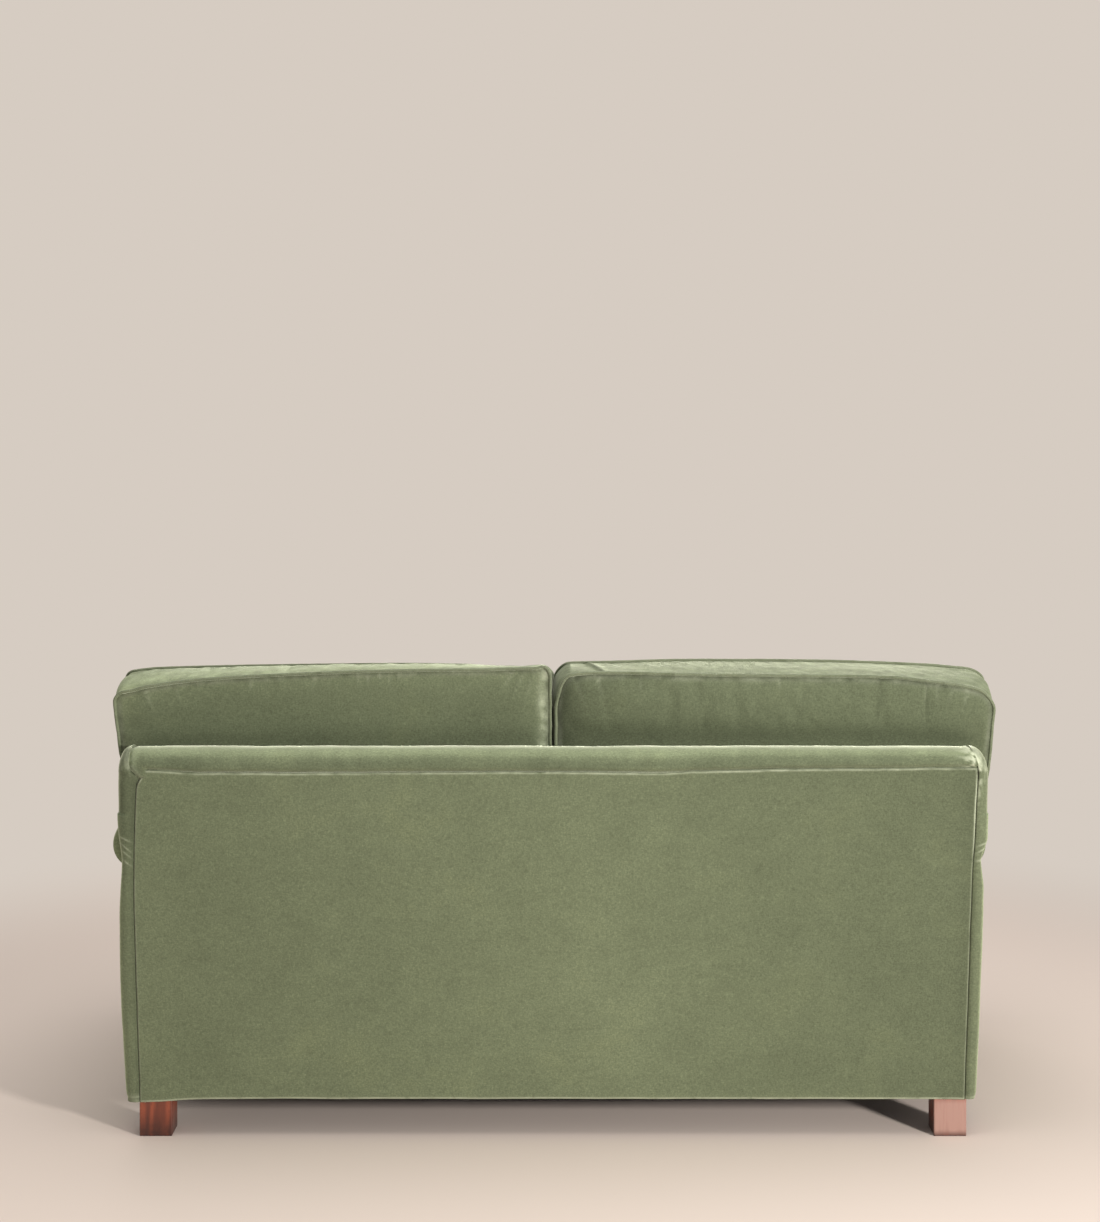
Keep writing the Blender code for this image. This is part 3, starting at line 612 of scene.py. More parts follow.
def raked(x: float, depth: float, z: float, tone: float = 0.0, crush: float = 0.0) -> Mark:
    """A ring's point at a depth in front of the raked rear face, with its tone and its pale crush and
    highlight.
    """
    return (x, RAKE.y(depth, z), z), tone, crush


def linked(name: str, data: Any) -> Object:
    """A new object in the scene, with its origin at the scene's.

    Args:
        name: Its name.
        data: Its mesh, light or camera.

    Returns:
        The object.
    """
    made = bpy.data.objects.new(name, data)
    bpy.context.scene.collection.objects.link(made)
    return made


def settled(name: str, rough: Object) -> Object:
    """Puts the plain mesh that an object's modifiers give in the object's place.

    Args:
        name: The new object's name.
        rough: The object, which is removed.

    Returns:
        The new object.
    """
    depsgraph = bpy.context.evaluated_depsgraph_get()
    data = bpy.data.meshes.new_from_object(rough.evaluated_get(depsgraph), depsgraph=depsgraph)
    bpy.data.objects.remove(rough, do_unlink=True)
    return linked(name, data)


def write(data: bpy.types.Mesh, values: Dict[str, Any]) -> None:
    """Writes values for each corner of a mesh, by the attribute's name."""
    for label, numbers in values.items():
        data.attributes.new(label, "FLOAT", "POINT").data.foreach_set("value", np.array(numbers, float))


class Upholstery:
    """Makes covered pieces and keeps the finishes, the piping and the staples that they share."""

    def __init__(self) -> None:
        """Builds what is shared."""
        self.velvet = Velvet().make()
        self.boxing = Velvet(name="green_velvet_boxing", sheen=0.45).make()
        self.lining = Woven().make()
        self.dust_cloth = Woven(name="black_bonded_cloth", thread=0.0009, high=(0.024, 0.024, 0.025),
                                low=(0.01, 0.01, 0.011)).make()
        self.webbing = Woven(name="elastic_webbing_weave", thread=0.0024, high=(0.36, 0.3, 0.22),
                             low=(0.16, 0.12, 0.09), axes=("X", "Z")).make()
        self.welt, self.staples, self.steel = Welt(), Staples(), Steel().make()

    def cover(self, name: str, rings: Sequence[Ring], nodes: Sequence[str] = (), fill: Optional[float] = None,
              finish: Optional[bpy.types.Material] = None, slot: str = VELVET_SLOT) -> Object:
        """Makes a closed body through rings of points, with flat caps on its ends, and hands it over.

        Args:
            name: The object's name.
            rings: Rings with as many points each, and each point's tone in stops, which holds painted shade
                and highlights, and its pale crush and highlight from 0 to 1.
            nodes: The solids that it stands for.
            fill: How tightly it is stuffed, if it is padded.
            finish: Its material, if it isn't velvet.
            slot: The record's material slot.

        Returns:
            The object.
        """
        count, last = len(rings[0]), len(rings) - 1
        faces = [(row * count + here, row * count + (here + 1) % count,
                  (row + 1) * count + (here + 1) % count, (row + 1) * count + here)
                 for row in range(last) for here in range(count)]
        faces += [tuple(range(count)), tuple(range(last * count, (last + 1) * count))]
        points, tones, crushes = zip(*(mark for ring in rings for mark in ring))
        data = bpy.data.meshes.new(name)
        data.from_pydata(points, [], faces)
        write(data, {"tone": tones, "crush": crushes})
        data.polygons.foreach_set("use_smooth", np.arange(len(faces)) < len(faces) - 2)
        form = bmesh.new()
        form.from_mesh(data)
        bmesh.ops.remove_doubles(form, verts=form.verts, dist=1e-6)
        bmesh.ops.dissolve_degenerate(form, dist=1e-7, edges=form.edges)
        bmesh.ops.recalc_face_normals(form, faces=form.faces)
        form.to_mesh(data)
        form.free()
        data.materials.append(finish or self.velvet)
        piece = linked(name, data)
        self.hand_over(piece, slot, FRAME_BODY, nodes, fill)
        return piece

    @staticmethod
    def hand_over(piece: Object, slot: str, body: str, nodes: Sequence[str] = (),
                  fill: Optional[float] = None) -> None:
        """Declares a finished piece to the frame and reports it.

        Args:
            piece: The finished object.
            slot: The record's material slot; not used.
            body: The body that it rides on.
            nodes: The solids that it stands for.
            fill: How tightly it is stuffed, if it is padded; not used.
        """
        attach(piece, body)
        if nodes:
            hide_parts(*nodes)
        LOG.info("%s: %d faces on %s", piece.name, len(piece.data.polygons), body)


# Piping and staples, which follow a path


class PathTree:
    """A geometry node tree that lays something along a path, with named inputs."""

    def __init__(self, name: str, numbers: Dict[str, float]) -> None:
        """Starts the tree, its path and its inputs.

        Args:
            name: The tree's name.
            numbers: The usual value of each input by its name; whole numbers stay whole.
        """
        self.group = bpy.data.node_groups.new(name, "GeometryNodeTree")
        face = self.group.interface
        face.new_socket("Geometry", in_out="INPUT", socket_type="NodeSocketGeometry")
        face.new_socket("Geometry", in_out="OUTPUT", socket_type="NodeSocketGeometry")
        for label, value in numbers.items():
            kind = "NodeSocketInt" if isinstance(value, int) else "NodeSocketFloat"
            face.new_socket(label, in_out="INPUT", socket_type=kind).default_value = value
        face.new_socket("Material", in_out="INPUT", socket_type="NodeSocketMaterial")
        self.tree = Tree(self.group)
        self.given = self.tree.node("NodeGroupInput")
        self.line = self.tree.node("GeometryNodeMeshToCurve", {0: self.given["Geometry"]})

    def close(self, geometry: Node) -> None:
        """Ends the tree with real geometry in its material.

        Args:
            geometry: The node that gives it.
        """
        real = self.tree.node("GeometryNodeRealizeInstances", {0: geometry})
        dressed = self.tree.node("GeometryNodeSetMaterial", {0: real, "Material": self.given["Material"]})
        self.tree.node("NodeGroupOutput", {0: dressed})

    def lay(self, name: str, path: Sequence[Point], closed: bool, values: Dict[str, Any]) -> Object:
        """Lays the tree's pattern along a path and keeps the result as a plain mesh.

        Args:
            name: The new object's name.
            path: The path's points.
            closed: Whether the path is a loop.
            values: The tree's inputs by name.

        Returns:
            The finished object.
        """
        data = bpy.data.meshes.new(name + "_path")
        edges = [(here, here + 1) for here in range(len(path) - 1)] + ([(len(path) - 1, 0)] if closed else [])
        data.from_pydata([tuple(point) for point in path], edges, [])
        guide = linked(name + "_path", data)
        modifier = guide.modifiers.new("along_path", "NODES")
        modifier.node_group = self.group
        for item in self.group.interface.items_tree:
            if item.in_out == "INPUT" and item.name in values:
                modifier[item.identifier] = values[item.name]
        return settled(name, guide)


class Welt(PathTree):
    """Piping: a covered cord that follows a seam and wanders a little."""

    def __init__(self) -> None:
        """Builds the piping's tree."""
        super().__init__("velvet_piping", {
            "Radius": 0.003, "Wander": 0.0006, "Wander length": 0.04, "Spacing": 0.005, "Sides": 10,
            "Seed": 3.0, "Tone": 0.0, "Crush": 0.3})
        tree, given = self.tree, self.given
        even = tree.node("GeometryNodeResampleCurve", {0: self.line, "Length": given["Spacing"]},
                         mode="LENGTH")
        waves = tree.node("ShaderNodeTexNoise", {
            "Vector": tree.node("GeometryNodeInputPosition"), "W": given["Seed"],
            "Scale": 1.0 / given["Wander length"], "Detail": 1.0}, noise_dimensions="4D")
        centred = tree.node("ShaderNodeVectorMath", {0: waves["Color"], 1: (0.5, 0.5, 0.5)},
                            operation="SUBTRACT")
        moved = tree.node("ShaderNodeVectorMath", {0: centred, "Scale": given["Wander"] * 2.0},
                          operation="SCALE")
        wandering = tree.node("GeometryNodeSetPosition", {0: even, "Offset": moved})
        section = tree.node("GeometryNodeCurvePrimitiveCircle", {
            "Resolution": given["Sides"], "Radius": given["Radius"]}, mode="RADIUS")
        tube = tree.node("GeometryNodeCurveToMesh", {
            "Curve": wandering, "Profile Curve": section, "Fill Caps": True})
        shape = tree.node("GeometryNodeSetShadeSmooth", {0: tube, "Shade Smooth": True})
        for label in ("Tone", "Crush"):
            shape = tree.node("GeometryNodeStoreNamedAttribute", {
                0: shape, "Name": label.lower(), "Value": given[label]}, data_type="FLOAT", domain="POINT")
        self.close(shape)


class Staples(PathTree):
    """Wire staples set at even steps along a path, flat against the cloth."""

    def __init__(self) -> None:
        """Builds the staples' tree."""
        super().__init__("wire_staples", {
            "Step": 0.035, "Crown": 0.01, "Wire": 0.0007, "Slant": 0.25, "Seed": 5})
        tree, given = self.tree, self.given
        steps = tree.node("GeometryNodeCurveToPoints", {0: self.line, "Length": given["Step"]}, mode="LENGTH")
        size = tree.node("ShaderNodeCombineXYZ", {
            "X": given["Crown"], "Y": given["Wire"], "Z": given["Wire"]})
        wire = tree.node("GeometryNodeMeshCube", {"Size": size})
        heading = tree.node("FunctionNodeAlignRotationToVector", {"Vector": steps["Tangent"]}, axis="X")
        slant = tree.node("FunctionNodeRandomValue", {
            2: given["Slant"] * -1.0, 3: given["Slant"], "Seed": given["Seed"]}, data_type="FLOAT")
        turn = tree.node("FunctionNodeAxisAngleToRotation", {"Axis": (0.0, 0.0, 1.0), "Angle": slant[1]})
        turned = tree.node("FunctionNodeRotateRotation", {0: heading, 1: turn}, rotation_space="LOCAL")
        placed = tree.node("GeometryNodeInstanceOnPoints", {
            "Points": steps["Points"], "Instance": wire["Mesh"], "Rotation": turned})
        self.close(placed)


# The fixed upholstery


@dataclass
class Part:
    """A sub-assembly of the sofa, made with the shared finishes."""

    kit: Upholstery


@dataclass
class PanelSpot:
    """A place on the rear panel: across, up, the hem's height there, the nearer side and the nearest seam."""

    x: float
    z: float
    low: float
    side: Side
    edge: float


@dataclass
class OutsideBack(Part):
    """The flat covered panel across the rear: folded edges at the seams and a hem along the bottom."""

    thickness: float = 0.0118
    fold_radius: float = 0.0034
    fold_depth: float = 0.0045
    fold_proud: float = 0.0009
    half_width: float = 0.76
    rise: float = 0.612
    highest_back: float = 0.6825
    cell: float = 0.008
    seams: Dict[Side, Curve] = sided(
        Curve(((0.07, 0.76), (0.25, 0.762), (0.447, 0.763), (0.568, 0.7594), (0.655, 0.754), (0.667, 0.7485),
               (0.6835, 0.739))),
        Curve(((0.07, 0.7575), (0.3, 0.76), (0.515, 0.7632), (0.56, 0.7655), (0.627, 0.7668), (0.675, 0.7688),
               (0.69, 0.768))))
    top: Curve = Curve((
        (-0.765, 0.6905), (-0.59, 0.6895), (-0.446, 0.688), (-0.265, 0.6845), (-0.184, 0.6806),
        (-0.08, 0.6822), (0.0, 0.6829), (0.2, 0.6822), (0.475, 0.681), (0.64, 0.6813), (0.74, 0.685)))
    hem_drop: Curve = Curve((
        (-0.765, 0.0012), (-0.72, 0.0002), (-0.5, 0.0), (0.55, 0.0), (0.66, 0.0012), (0.72, 0.0048),
        (0.765, 0.0062)))

    def seam_x(self, side: Side, z: float) -> float:
        """How far out the panel's side seam lies at a height, with the fabric's slight waver."""
        return self.seams[side](z) + 0.0005 * ripple((z, 0.0, 0.0), 0.045, 3.0 + side.value)

    def seam_z(self, x: float) -> float:
        """The height of the seam under the top roll."""
        at = (x, 0.0, 0.0)
        return self.top(x) + 0.0008 * ripple(at, 0.05, 8.0) + 0.0005 * ripple(at, 0.016, 2.0)

    def fold(self, distance: float) -> float:
        """How far the cloth stands out at a distance from a folded edge.

        Args:
            distance: The distance.

        Returns:
            How far, less than nothing on the fold itself.
        """
        if distance < self.fold_radius:
            part = 1 - distance / self.fold_radius
            return -self.fold_depth * (1 - sqrt(max(1 - part * part, 0.0)))
        return self.fold_proud * bell(distance - self.fold_radius, 0.0026)

    def build(self) -> None:
        """Builds and hands over the panel."""
        across = [part / self.half_width for part in EDGE_STEPS]
        upwards = [part / self.rise for part in EDGE_STEPS]
        shares = spaced(-1.0, 1.0, self.cell / self.half_width, across, across)
        rings: List[Ring] = []
        for level in spaced(0.0, 1.0, self.cell / self.rise, upwards[:6], upwards):
            ring: Ring = []
            for share in shares:
                side = Side.of(share)
                rough_x = share * self.half_width
                low = HEM - self.hem_drop(rough_x) + 0.0007 * ripple((rough_x, 0, 0), 0.09, 1.0)
                z = low + (self.seam_z(rough_x) - low) * level
                x = share * self.seam_x(side, z)
                edge = min(self.seam_x(side, z) - abs(x), self.seam_z(x) - z)
                spot = PanelSpot(x, z, low, side, edge)
                ring.append((self._outer(spot), *self._pile_and_light(spot)))
            z = min(max(ring[0][0][2], HEM), self.highest_back)
            rings.append(ring + [raked(x, self.thickness, z) for x in (
                abs(ring[-1][0][0]) - 0.0005, -abs(ring[0][0][0]) + 0.0005)])
        self.kit.cover("outside_back_cover", self._lip(rings[0]) + rings, ["outside_back"])

    def _outer(self, spot: PanelSpot) -> Point:
        """A point of the panel's outside face.

        Args:
            spot: The place.

        Returns:
            The point.
        """
        x, z = spot.x, spot.z
        from_side, from_top = self.seam_x(spot.side, z) - abs(x), self.seam_z(x) - z
        out = min(self.fold(max(from_side, 0.0)), self.fold(max(from_top, 0.0)))
        middle = (1 - (x / self.half_width) ** 2) * (1 - ((z - 0.36) / 0.33) ** 2)
        slack = 0.0011 * ripple((x, 0, z), 0.23, 4.0) + 0.0004 * ripple((x, 0, z), 0.06, 6.0)
        pulls = 0.0005 * ripple((x * 3.0, 0, z), 0.05, 9.0) * bell(from_top, 0.045)
        out += (0.0022 * max(middle, 0.0) + slack + pulls) * (1 - bell(min(from_side, from_top), 0.012))
        if z - spot.low < 0.003:
            out -= 0.0022 * (1 - (z - spot.low) / 0.003) ** 2
        return (x, RAKE.y(-out, z), z)

    @staticmethod
    def _pile_and_light(spot: PanelSpot) -> Pair:
        """The tone, lighter in broad patches and darker towards the right end, and the pale crush: crushed
        pile with painted highlight along the folded edges and the hem, brightest up the right seam where the
        light falls.

        Args:
            spot: The place.

        Returns:
            The tone and the crush.
        """
        x, z, edge = spot.x, spot.z, spot.edge
        tone = 0.12 * bell(hypot(x + 0.06, (z - 0.34) * 1.2), 0.22)
        tone += 0.07 * bell(hypot(x - 0.02, (z - 0.6) * 1.5), 0.12)
        tone += 0.08 * bell(hypot(x + 0.2, z - 0.12), 0.16)
        tone -= 0.12 * bell(-x - 0.756, 0.022)
        tone = tone + 0.05 * max((x - 0.3) / 0.46, 0.0) - 0.4 * max((-x - 0.15) / 0.61, 0.0)
        wear_and_light, torn = wear((x, 0, z), 0.02, 5.0), wear((x, 0, z), 0.008, 6.0)
        rim = bell(edge - 0.0016, 0.0017)
        fold = bell(edge - 0.002, 0.0019) * (0.15 + 0.75 * wear_and_light * (0.4 + 0.9 * torn))
        # Crushed pile and painted highlight along the side folds, brightest high up the right seam, which
        # faces the light; crushed pile and painted highlight along the hem's edge.
        if z < 0.665:
            fold = rim * spot.side.pick(0.34, 0.22 + 0.7 * unit((z - 0.5) / 0.1)) * (0.55 + 0.45 * wear_and_light)
        fold += 0.5 * rim * bell(hypot(x - 0.745, z - 0.676), 0.016) * torn
        hem = 0.95 * bell(z - spot.low - 0.0012, 0.0016) * (0.6 + 0.4 * wear_and_light)
        return tone, min(fold + hem, 1.0)

    @staticmethod
    def _lip(first: Ring) -> List[Ring]:
        """The hem turned under, as a thin lip that clears the feet.

        Args:
            first: The panel's lowest ring.

        Returns:
            The three rings that come before it.
        """
        lip = []
        for depth, rise in ((0.0032, 0.004), (0.0024, 0.0002), (0.0012, -0.0007)):
            levels = [(x, min(z + rise, HEM) if rise < 0.003 else HEM) for (x, _, z), _, _ in first[:-2]]
            turned = [(x, RAKE.y(depth, z), z) for x, z in levels] + [point for point, _, _ in first[-2:]]
            # Painted shade: the turned-under lip is darker; its lowest edge gets a pale crush and painted
            # highlight.
            lip.append([(point, -0.5, 0.35 if rise < 0 else 0.0) for point in turned])
        return lip


@dataclass
class StripSpot:
    """A place on a side strip: out, up, the inner edge, the step round, how far outwards, and the crease."""

    x: float
    z: float
    inner: float
    step: int
    outwards: float
    crease: float = 0.0


@dataclass
class SideStrip(Part):
    """The strip between the rear panel and the outside of the sofa, up over the end of the top roll."""

    side: Side
    panel: OutsideBack
    roll_height: float = 0.0385
    arm_top: float = 0.6035
    wrap_low: float = 0.052
    wrap_high: float = 0.1045
    leg_x: float = 0.7742
    post_depth: float = 0.0122
    valley: float = 0.0024
    around: int = 44
    inner_top: Dict[Side, Curve] = sided(
        Curve(((0.66, 0.7535), (0.668, 0.7495), (0.674, 0.749), (0.679, 0.755), (0.6865, 0.763),
               (0.6937, 0.7665), (0.7045, 0.768), (0.723, 0.7685))),
        Curve(((0.66, 0.769), (0.675, 0.77), (0.69, 0.769), (0.705, 0.765), (0.723, 0.761))))
    outer: Dict[Side, Curve] = sided(
        Curve(((0.07, 0.785), (0.078, 0.7872), (0.165, 0.7908), (0.3, 0.7942), (0.368, 0.7935),
               (0.42, 0.7926), (0.462, 0.7902), (0.495, 0.7872), (0.515, 0.7862), (0.535, 0.7875),
               (0.556, 0.7902), (0.6, 0.7928), (0.66, 0.7922), (0.7, 0.7902), (0.723, 0.788))),
        Curve(((0.07, 0.7785), (0.078, 0.7805), (0.165, 0.783), (0.3, 0.7853), (0.42, 0.7868),
               (0.462, 0.7868), (0.495, 0.7828), (0.517, 0.7802), (0.536, 0.7852), (0.56, 0.7918),
               (0.578, 0.7916), (0.6, 0.792), (0.66, 0.7915), (0.7, 0.7896), (0.723, 0.787))))
    hem_drop: Dict[Side, float] = sided(0.0066, 0.001)
    creases: Dict[Side, Tuple[Point, ...]] = sided(
        ((0.78, 0.559, 0.43), (0.7767, 0.5427, 0.8), (0.774, 0.529, 0.75), (0.776, 0.515, 0.67)),
        ((0.781, 0.5487, 0.35), (0.78, 0.538, 0.5), (0.777, 0.5185, 0.1)))

    def inner_x(self, z: float) -> float:
        """Where the strip starts, beside the panel or beside the end of the roll.

        Args:
            z: How high.

        Returns:
            How far out.
        """
        if z < 0.655:
            return self.panel.seam_x(self.side, z) + 0.0006
        low = self.panel.seam_x(self.side, 0.655) + 0.0006
        return low + (self.inner_top[self.side](z) - low) * min((z - 0.655) / 0.008, 1.0)

    def ring(self, z: float) -> Ring:
        """One level of the strip.

        Args:
            z: How high.

        Returns:
            The ring.
        """
        above = max(z - ROLL_BASE, 0.0) / self.roll_height
        square = self.side.pick(3.0, 2.4)
        shrink = max(1 - above ** square, 0.0) ** (1 / square)
        inner = self.inner_x(z)
        wrap = self.wrap_high if z > self.arm_top else self.wrap_low
        middle, half = wrap / 2, wrap / 2 * shrink
        out = (self.outer[self.side](z) - inner) * max(shrink, 0.04)
        sharp = 3.4 if z < ROLL_BASE else 3.4 - 1.3 * min(above * 1.6, 1.0)
        ring: Ring = []
        for step in range(self.around + 1):
            share = step / self.around
            across, outwards = power_round(pi * (share - 0.1 * sin(2 * pi * share)), sharp)
            spot = StripSpot(inner + out * outwards, z, inner, step, outwards)
            depth = middle - half * across
            edge = (spot.x - inner) if step < self.around / 2 else 1.0
            spot.crease = self._crease(spot)
            dip = self._valley(z) * bell(edge, 0.0048) - spot.crease
            slack = 0.0005 * ripple((spot.x, depth, z), 0.05, 7.0) * shrink
            spot.x += slack * outwards - max(spot.crease, 0.0) * 0.4
            depth += dip - slack * across
            # Painted sheen: a lighter tone and a pale crush along the outer rim, strongest on the right
            # strip, which faces the light.
            rim = unit((outwards - 0.7) / 0.25) if across > -0.6 else 0.0
            wear_and_light = unit((outwards - 0.9) / 0.08) * unit((across - 0.1) / 0.3)
            wear_and_light *= self.side.pick(0.32, 0.85) * (1.0 - 0.5 * bell(z - 0.62, 0.06))
            tone, crush = self._pile_and_light(spot)
            ring.append(raked(self.side.value * spot.x, depth, z, tone + 1.3 * rim, min(crush + wear_and_light, 1.0)))
        closing = [(self.leg_x, wrap), (self.leg_x, self.post_depth), (inner + 0.0004, self.post_depth)]
        if z > ROLL_BASE - 0.001:
            closing = [(inner, middle + half * 0.9), (inner, middle), (inner, middle - half * 0.85)]
        return ring + [raked(self.side.value * x, depth, z) for x, depth in closing]

    def _valley(self, z: float) -> float:
        """How deep the strip dips beside the panel: hardly at all on the right, higher up."""
        share = self.side.pick(0.0, unit((z - 0.47) / 0.08))
        return self.valley * (0.35 if z > 0.7 else 1.0 - 0.7 * share)

    def _crease(self, spot: StripSpot) -> float:
        """Slanting creases where the strip turns in round the arm, and gathers at the roll's end.

        Args:
            spot: The place.

        Returns:
            How much the cloth stands up there, in metres.
        """
        if spot.step > self.around * 0.55:
            return 0.0
        rise = 0.0
        for centre_x, centre_z, slope in self.creases[self.side]:
            off = (spot.z - centre_z) - slope * (spot.x - centre_x)
            rise += 0.001 * bell(off, 0.0017) * bell(spot.x - centre_x, 0.01)
        waves = ripple((spot.x * 2.2, 0.0, spot.z), 0.011, 12.0)
        return rise + self.side.pick(0.0008, 0.0016) * waves * bell(spot.z - 0.69, 0.022)

    def _pile_and_light(self, spot: StripSpot) -> Pair:
        """Painted shade in the valley and beside the arm, painted sheen outwards, and crushed pile with
        painted highlights on ridges, at the roll's end and along the hem.

        Args:
            spot: The place.

        Returns:
            The tone and the crush.
        """
        x, z, inwards = spot.x, spot.z, spot.x - spot.inner
        # Painted shade in the valley beside the panel; on the left, painted shade beside the arm and above it
        # and a painted sheen lighter outwards; on the right, a little lighter there.
        dark = bell(inwards - 0.001, 0.0055) if spot.step < self.around / 2 else 0.0
        above = unit((z - 0.53) / 0.04)
        tone = self.side.pick(-0.4 * dark - 0.12 - 0.26 * above + 0.3 * spot.outwards,
                              -0.1 * dark - 0.16 + 0.1 * above)
        if spot.step > self.around * 0.6:
            return tone, 0.0
        wear_and_light = wear((x, 0.0, z), 0.012, 15.0)
        ridge = min(max(spot.crease, 0.0) / 0.0011, 1.0) * 0.7
        # Pale crush and painted highlight at the roll's end, brightest on the right, which faces the light,
        # with flakes there.
        top = self.side.pick(0.35, 0.9) * bell(inwards - 0.004, 0.009) * unit((z - 0.682) / 0.012)
        flakes = self.side.pick(0.0, flecks((x, 0.0, z), 0.0075, 16.0))
        top += 0.9 * bell(inwards - 0.003, 0.004) * bell(min(z - 0.688, 0.0), 0.055) * flakes
        curl = self.side.pick(0.12, 0.35) * bell(z - 0.52, 0.004) * bell(x - 0.782, 0.006)
        hem = 0.45 * bell(z - HEM - 0.003, 0.003)
        return tone, min((ridge + top + curl) * (0.45 + 0.55 * wear_and_light) + hem * wear_and_light, 1.0)

    def build(self) -> None:
        """Builds and hands over the strip."""
        levels = spaced(HEM, 0.495, 0.006, EDGE_STEPS[1:7]) + spaced(0.4968, 0.58, 0.0018)
        levels += spaced(0.583, self.arm_top - 0.0005, 0.005)
        levels += spaced(self.arm_top + 0.0005, ROLL_BASE - 0.0012, 0.0035) + [ROLL_BASE - 0.0008]
        levels += [ROLL_BASE + self.roll_height * sin(pi / 2 * step / 22) for step in range(1, 22)]
        rings = [self.ring(level) for level in levels + [ROLL_BASE + self.roll_height * 0.9995]]
        self.kit.cover("corner_strip_" + self.side.word, self._lip(rings[0]) + rings,
                       ["back_border_" + self.side.word, "roll_facing_" + self.side.word])

    def _lip(self, first: Ring) -> List[Ring]:
        """The hem of the strip, dropped a little and turned under.

        Args:
            first: The strip's lowest ring.

        Returns:
            The four rings that come before it.
        """
        drop, lip = self.hem_drop[self.side], []
        for depth, rise in ((0.003, 0.0), (0.0022, -drop + 0.0006), (0.001, -drop - 0.0005), (0.0, -drop)):
            ring: Ring = []
            for index, ((x, y, z), _, _) in enumerate(first):
                behind = index < self.around * 0.42
                if index <= self.around:
                    y -= depth if behind else depth * 0.3
                    z += rise if behind else min(rise, 0.0) * 0.25
                # Painted shade under the turned hem; a pale crush on its lowest rings.
                ring.append(((x, y, z), -0.2, 0.3 if rise < 0 else 0.0))
            lip.append(ring)
        return lip


@dataclass
class BackRoll(Part):
    """The padded roll along the top of the back."""

    panel: OutsideBack
    strips: Dict[Side, SideStrip]
    rise: float = 0.0385
    front: float = 0.1045
    rear: float = -0.004
    half_width: float = 0.765
    around: int = 40
    cell: float = 0.008
    # Painted highlight round the section by height: darker low in the middle, lightest near the top.
    glow: Curve = Curve((
        (0.0, 0.05), (0.15, -0.05), (0.35, -0.14), (0.46, -0.04), (0.62, 0.2), (0.76, 0.68), (0.9, 0.88),
        (1.0, 0.6)))
    corner_drop: Curve = Curve(((0.735, 0.0), (0.739, 0.001), (0.7485, 0.0175), (0.765, 0.0178)))

    def build(self) -> None:
        """Builds and hands over the roll."""
        fine = [part / self.panel.half_width for part in EDGE_STEPS]
        shares = spaced(-1.0, 1.0, self.cell / self.panel.half_width, fine, fine)
        rings = [self._section(share, Side.of(share)) for share in shares]
        self.kit.cover("top_roll_cover", rings, ["back_roll"], 0.7)

    def _section(self, share: float, side: Side) -> Ring:
        """One section of the roll.

        Args:
            share: How far along, from -1 at the right end to 1 at the left.
            side: The nearer end.

        Returns:
            The ring.
        """
        rough_x = share * self.half_width
        low, top = self.panel.seam_z(rough_x) + 0.0005 - self.corner_drop(rough_x), ROLL_BASE + self.rise
        from_end = (1 - abs(share)) * self.half_width
        pull = side.pick(0.003, 0.0016) * bell(from_end, 0.0045)
        crumple = side.pick(0.0006, 0.0023) * bell(from_end, side.pick(0.02, 0.028))
        # Pale flecks at the roll's ends: crumpled pile with painted highlight, brightest at the right end,
        # where the light falls.
        end = side.pick(0.25, 1.0) * bell(from_end, side.pick(0.01, 0.021))
        middle, half = (self.front + self.rear) / 2, (self.front - self.rear) / 2
        ring: Ring = []
        for step in range(self.around + 1):
            part = step / self.around
            across, up = power_round(pi * (part - 0.08 * sin(2 * pi * part)), 2.15)
            foot = low if part < 0.5 else ROLL_BASE
            z = foot + (top - foot) * up - pull * up
            depth = middle - half * across + pull * across
            arc = (z - low) if part < 0.5 else 1.0
            depth += 0.0075 * bell(arc, 0.0042)
            swell = 0.0013 * ripple((rough_x, depth, z), 0.14, 21.0)
            swell += 0.0005 * ripple((rough_x, depth * 2.0, z), 0.035, 23.0)
            swell += crumple * ripple((rough_x * 1.6, depth, z), 0.0095, 25.0)
            depth -= swell * across
            z += swell * up
            x = share * (self.strips[side].inner_x(min(z, 0.7225)) + 0.0008)
            streak = 0.15 * ripple((rough_x, 0, part), 0.09, 29.0)
            streak += 0.16 * ripple((rough_x, 0, 0.05 * part), 0.02, 30.0)
            wear_and_light = wear((rough_x, depth, z), 0.014, 27.0)
            # Pale crush along the seam, and a painted highlight along the top ridge.
            seam, ridge = 0.06 * bell(arc - 0.002, 0.0022), 0.5 * bell(part - 0.5, 0.07)
            crush = (seam + ridge) * (0.4 + 0.6 * wear_and_light) + end * flecks((rough_x, depth, z), 0.0065, 28.0)
            tone = self.glow(up if part < 0.5 else 0.6 * up) + streak - 0.05
            ring.append(raked(x, depth, z, tone, min(crush, 1.0)))
        x = share * (self.strips[side].inner_x(0.69) - 0.001)
        return ring + [((x, RAKE.y(depth, ROLL_BASE), ROLL_BASE + 0.0002), 0.0, 0.0)
                       for depth in (self.front - 0.002, self.panel.thickness)]


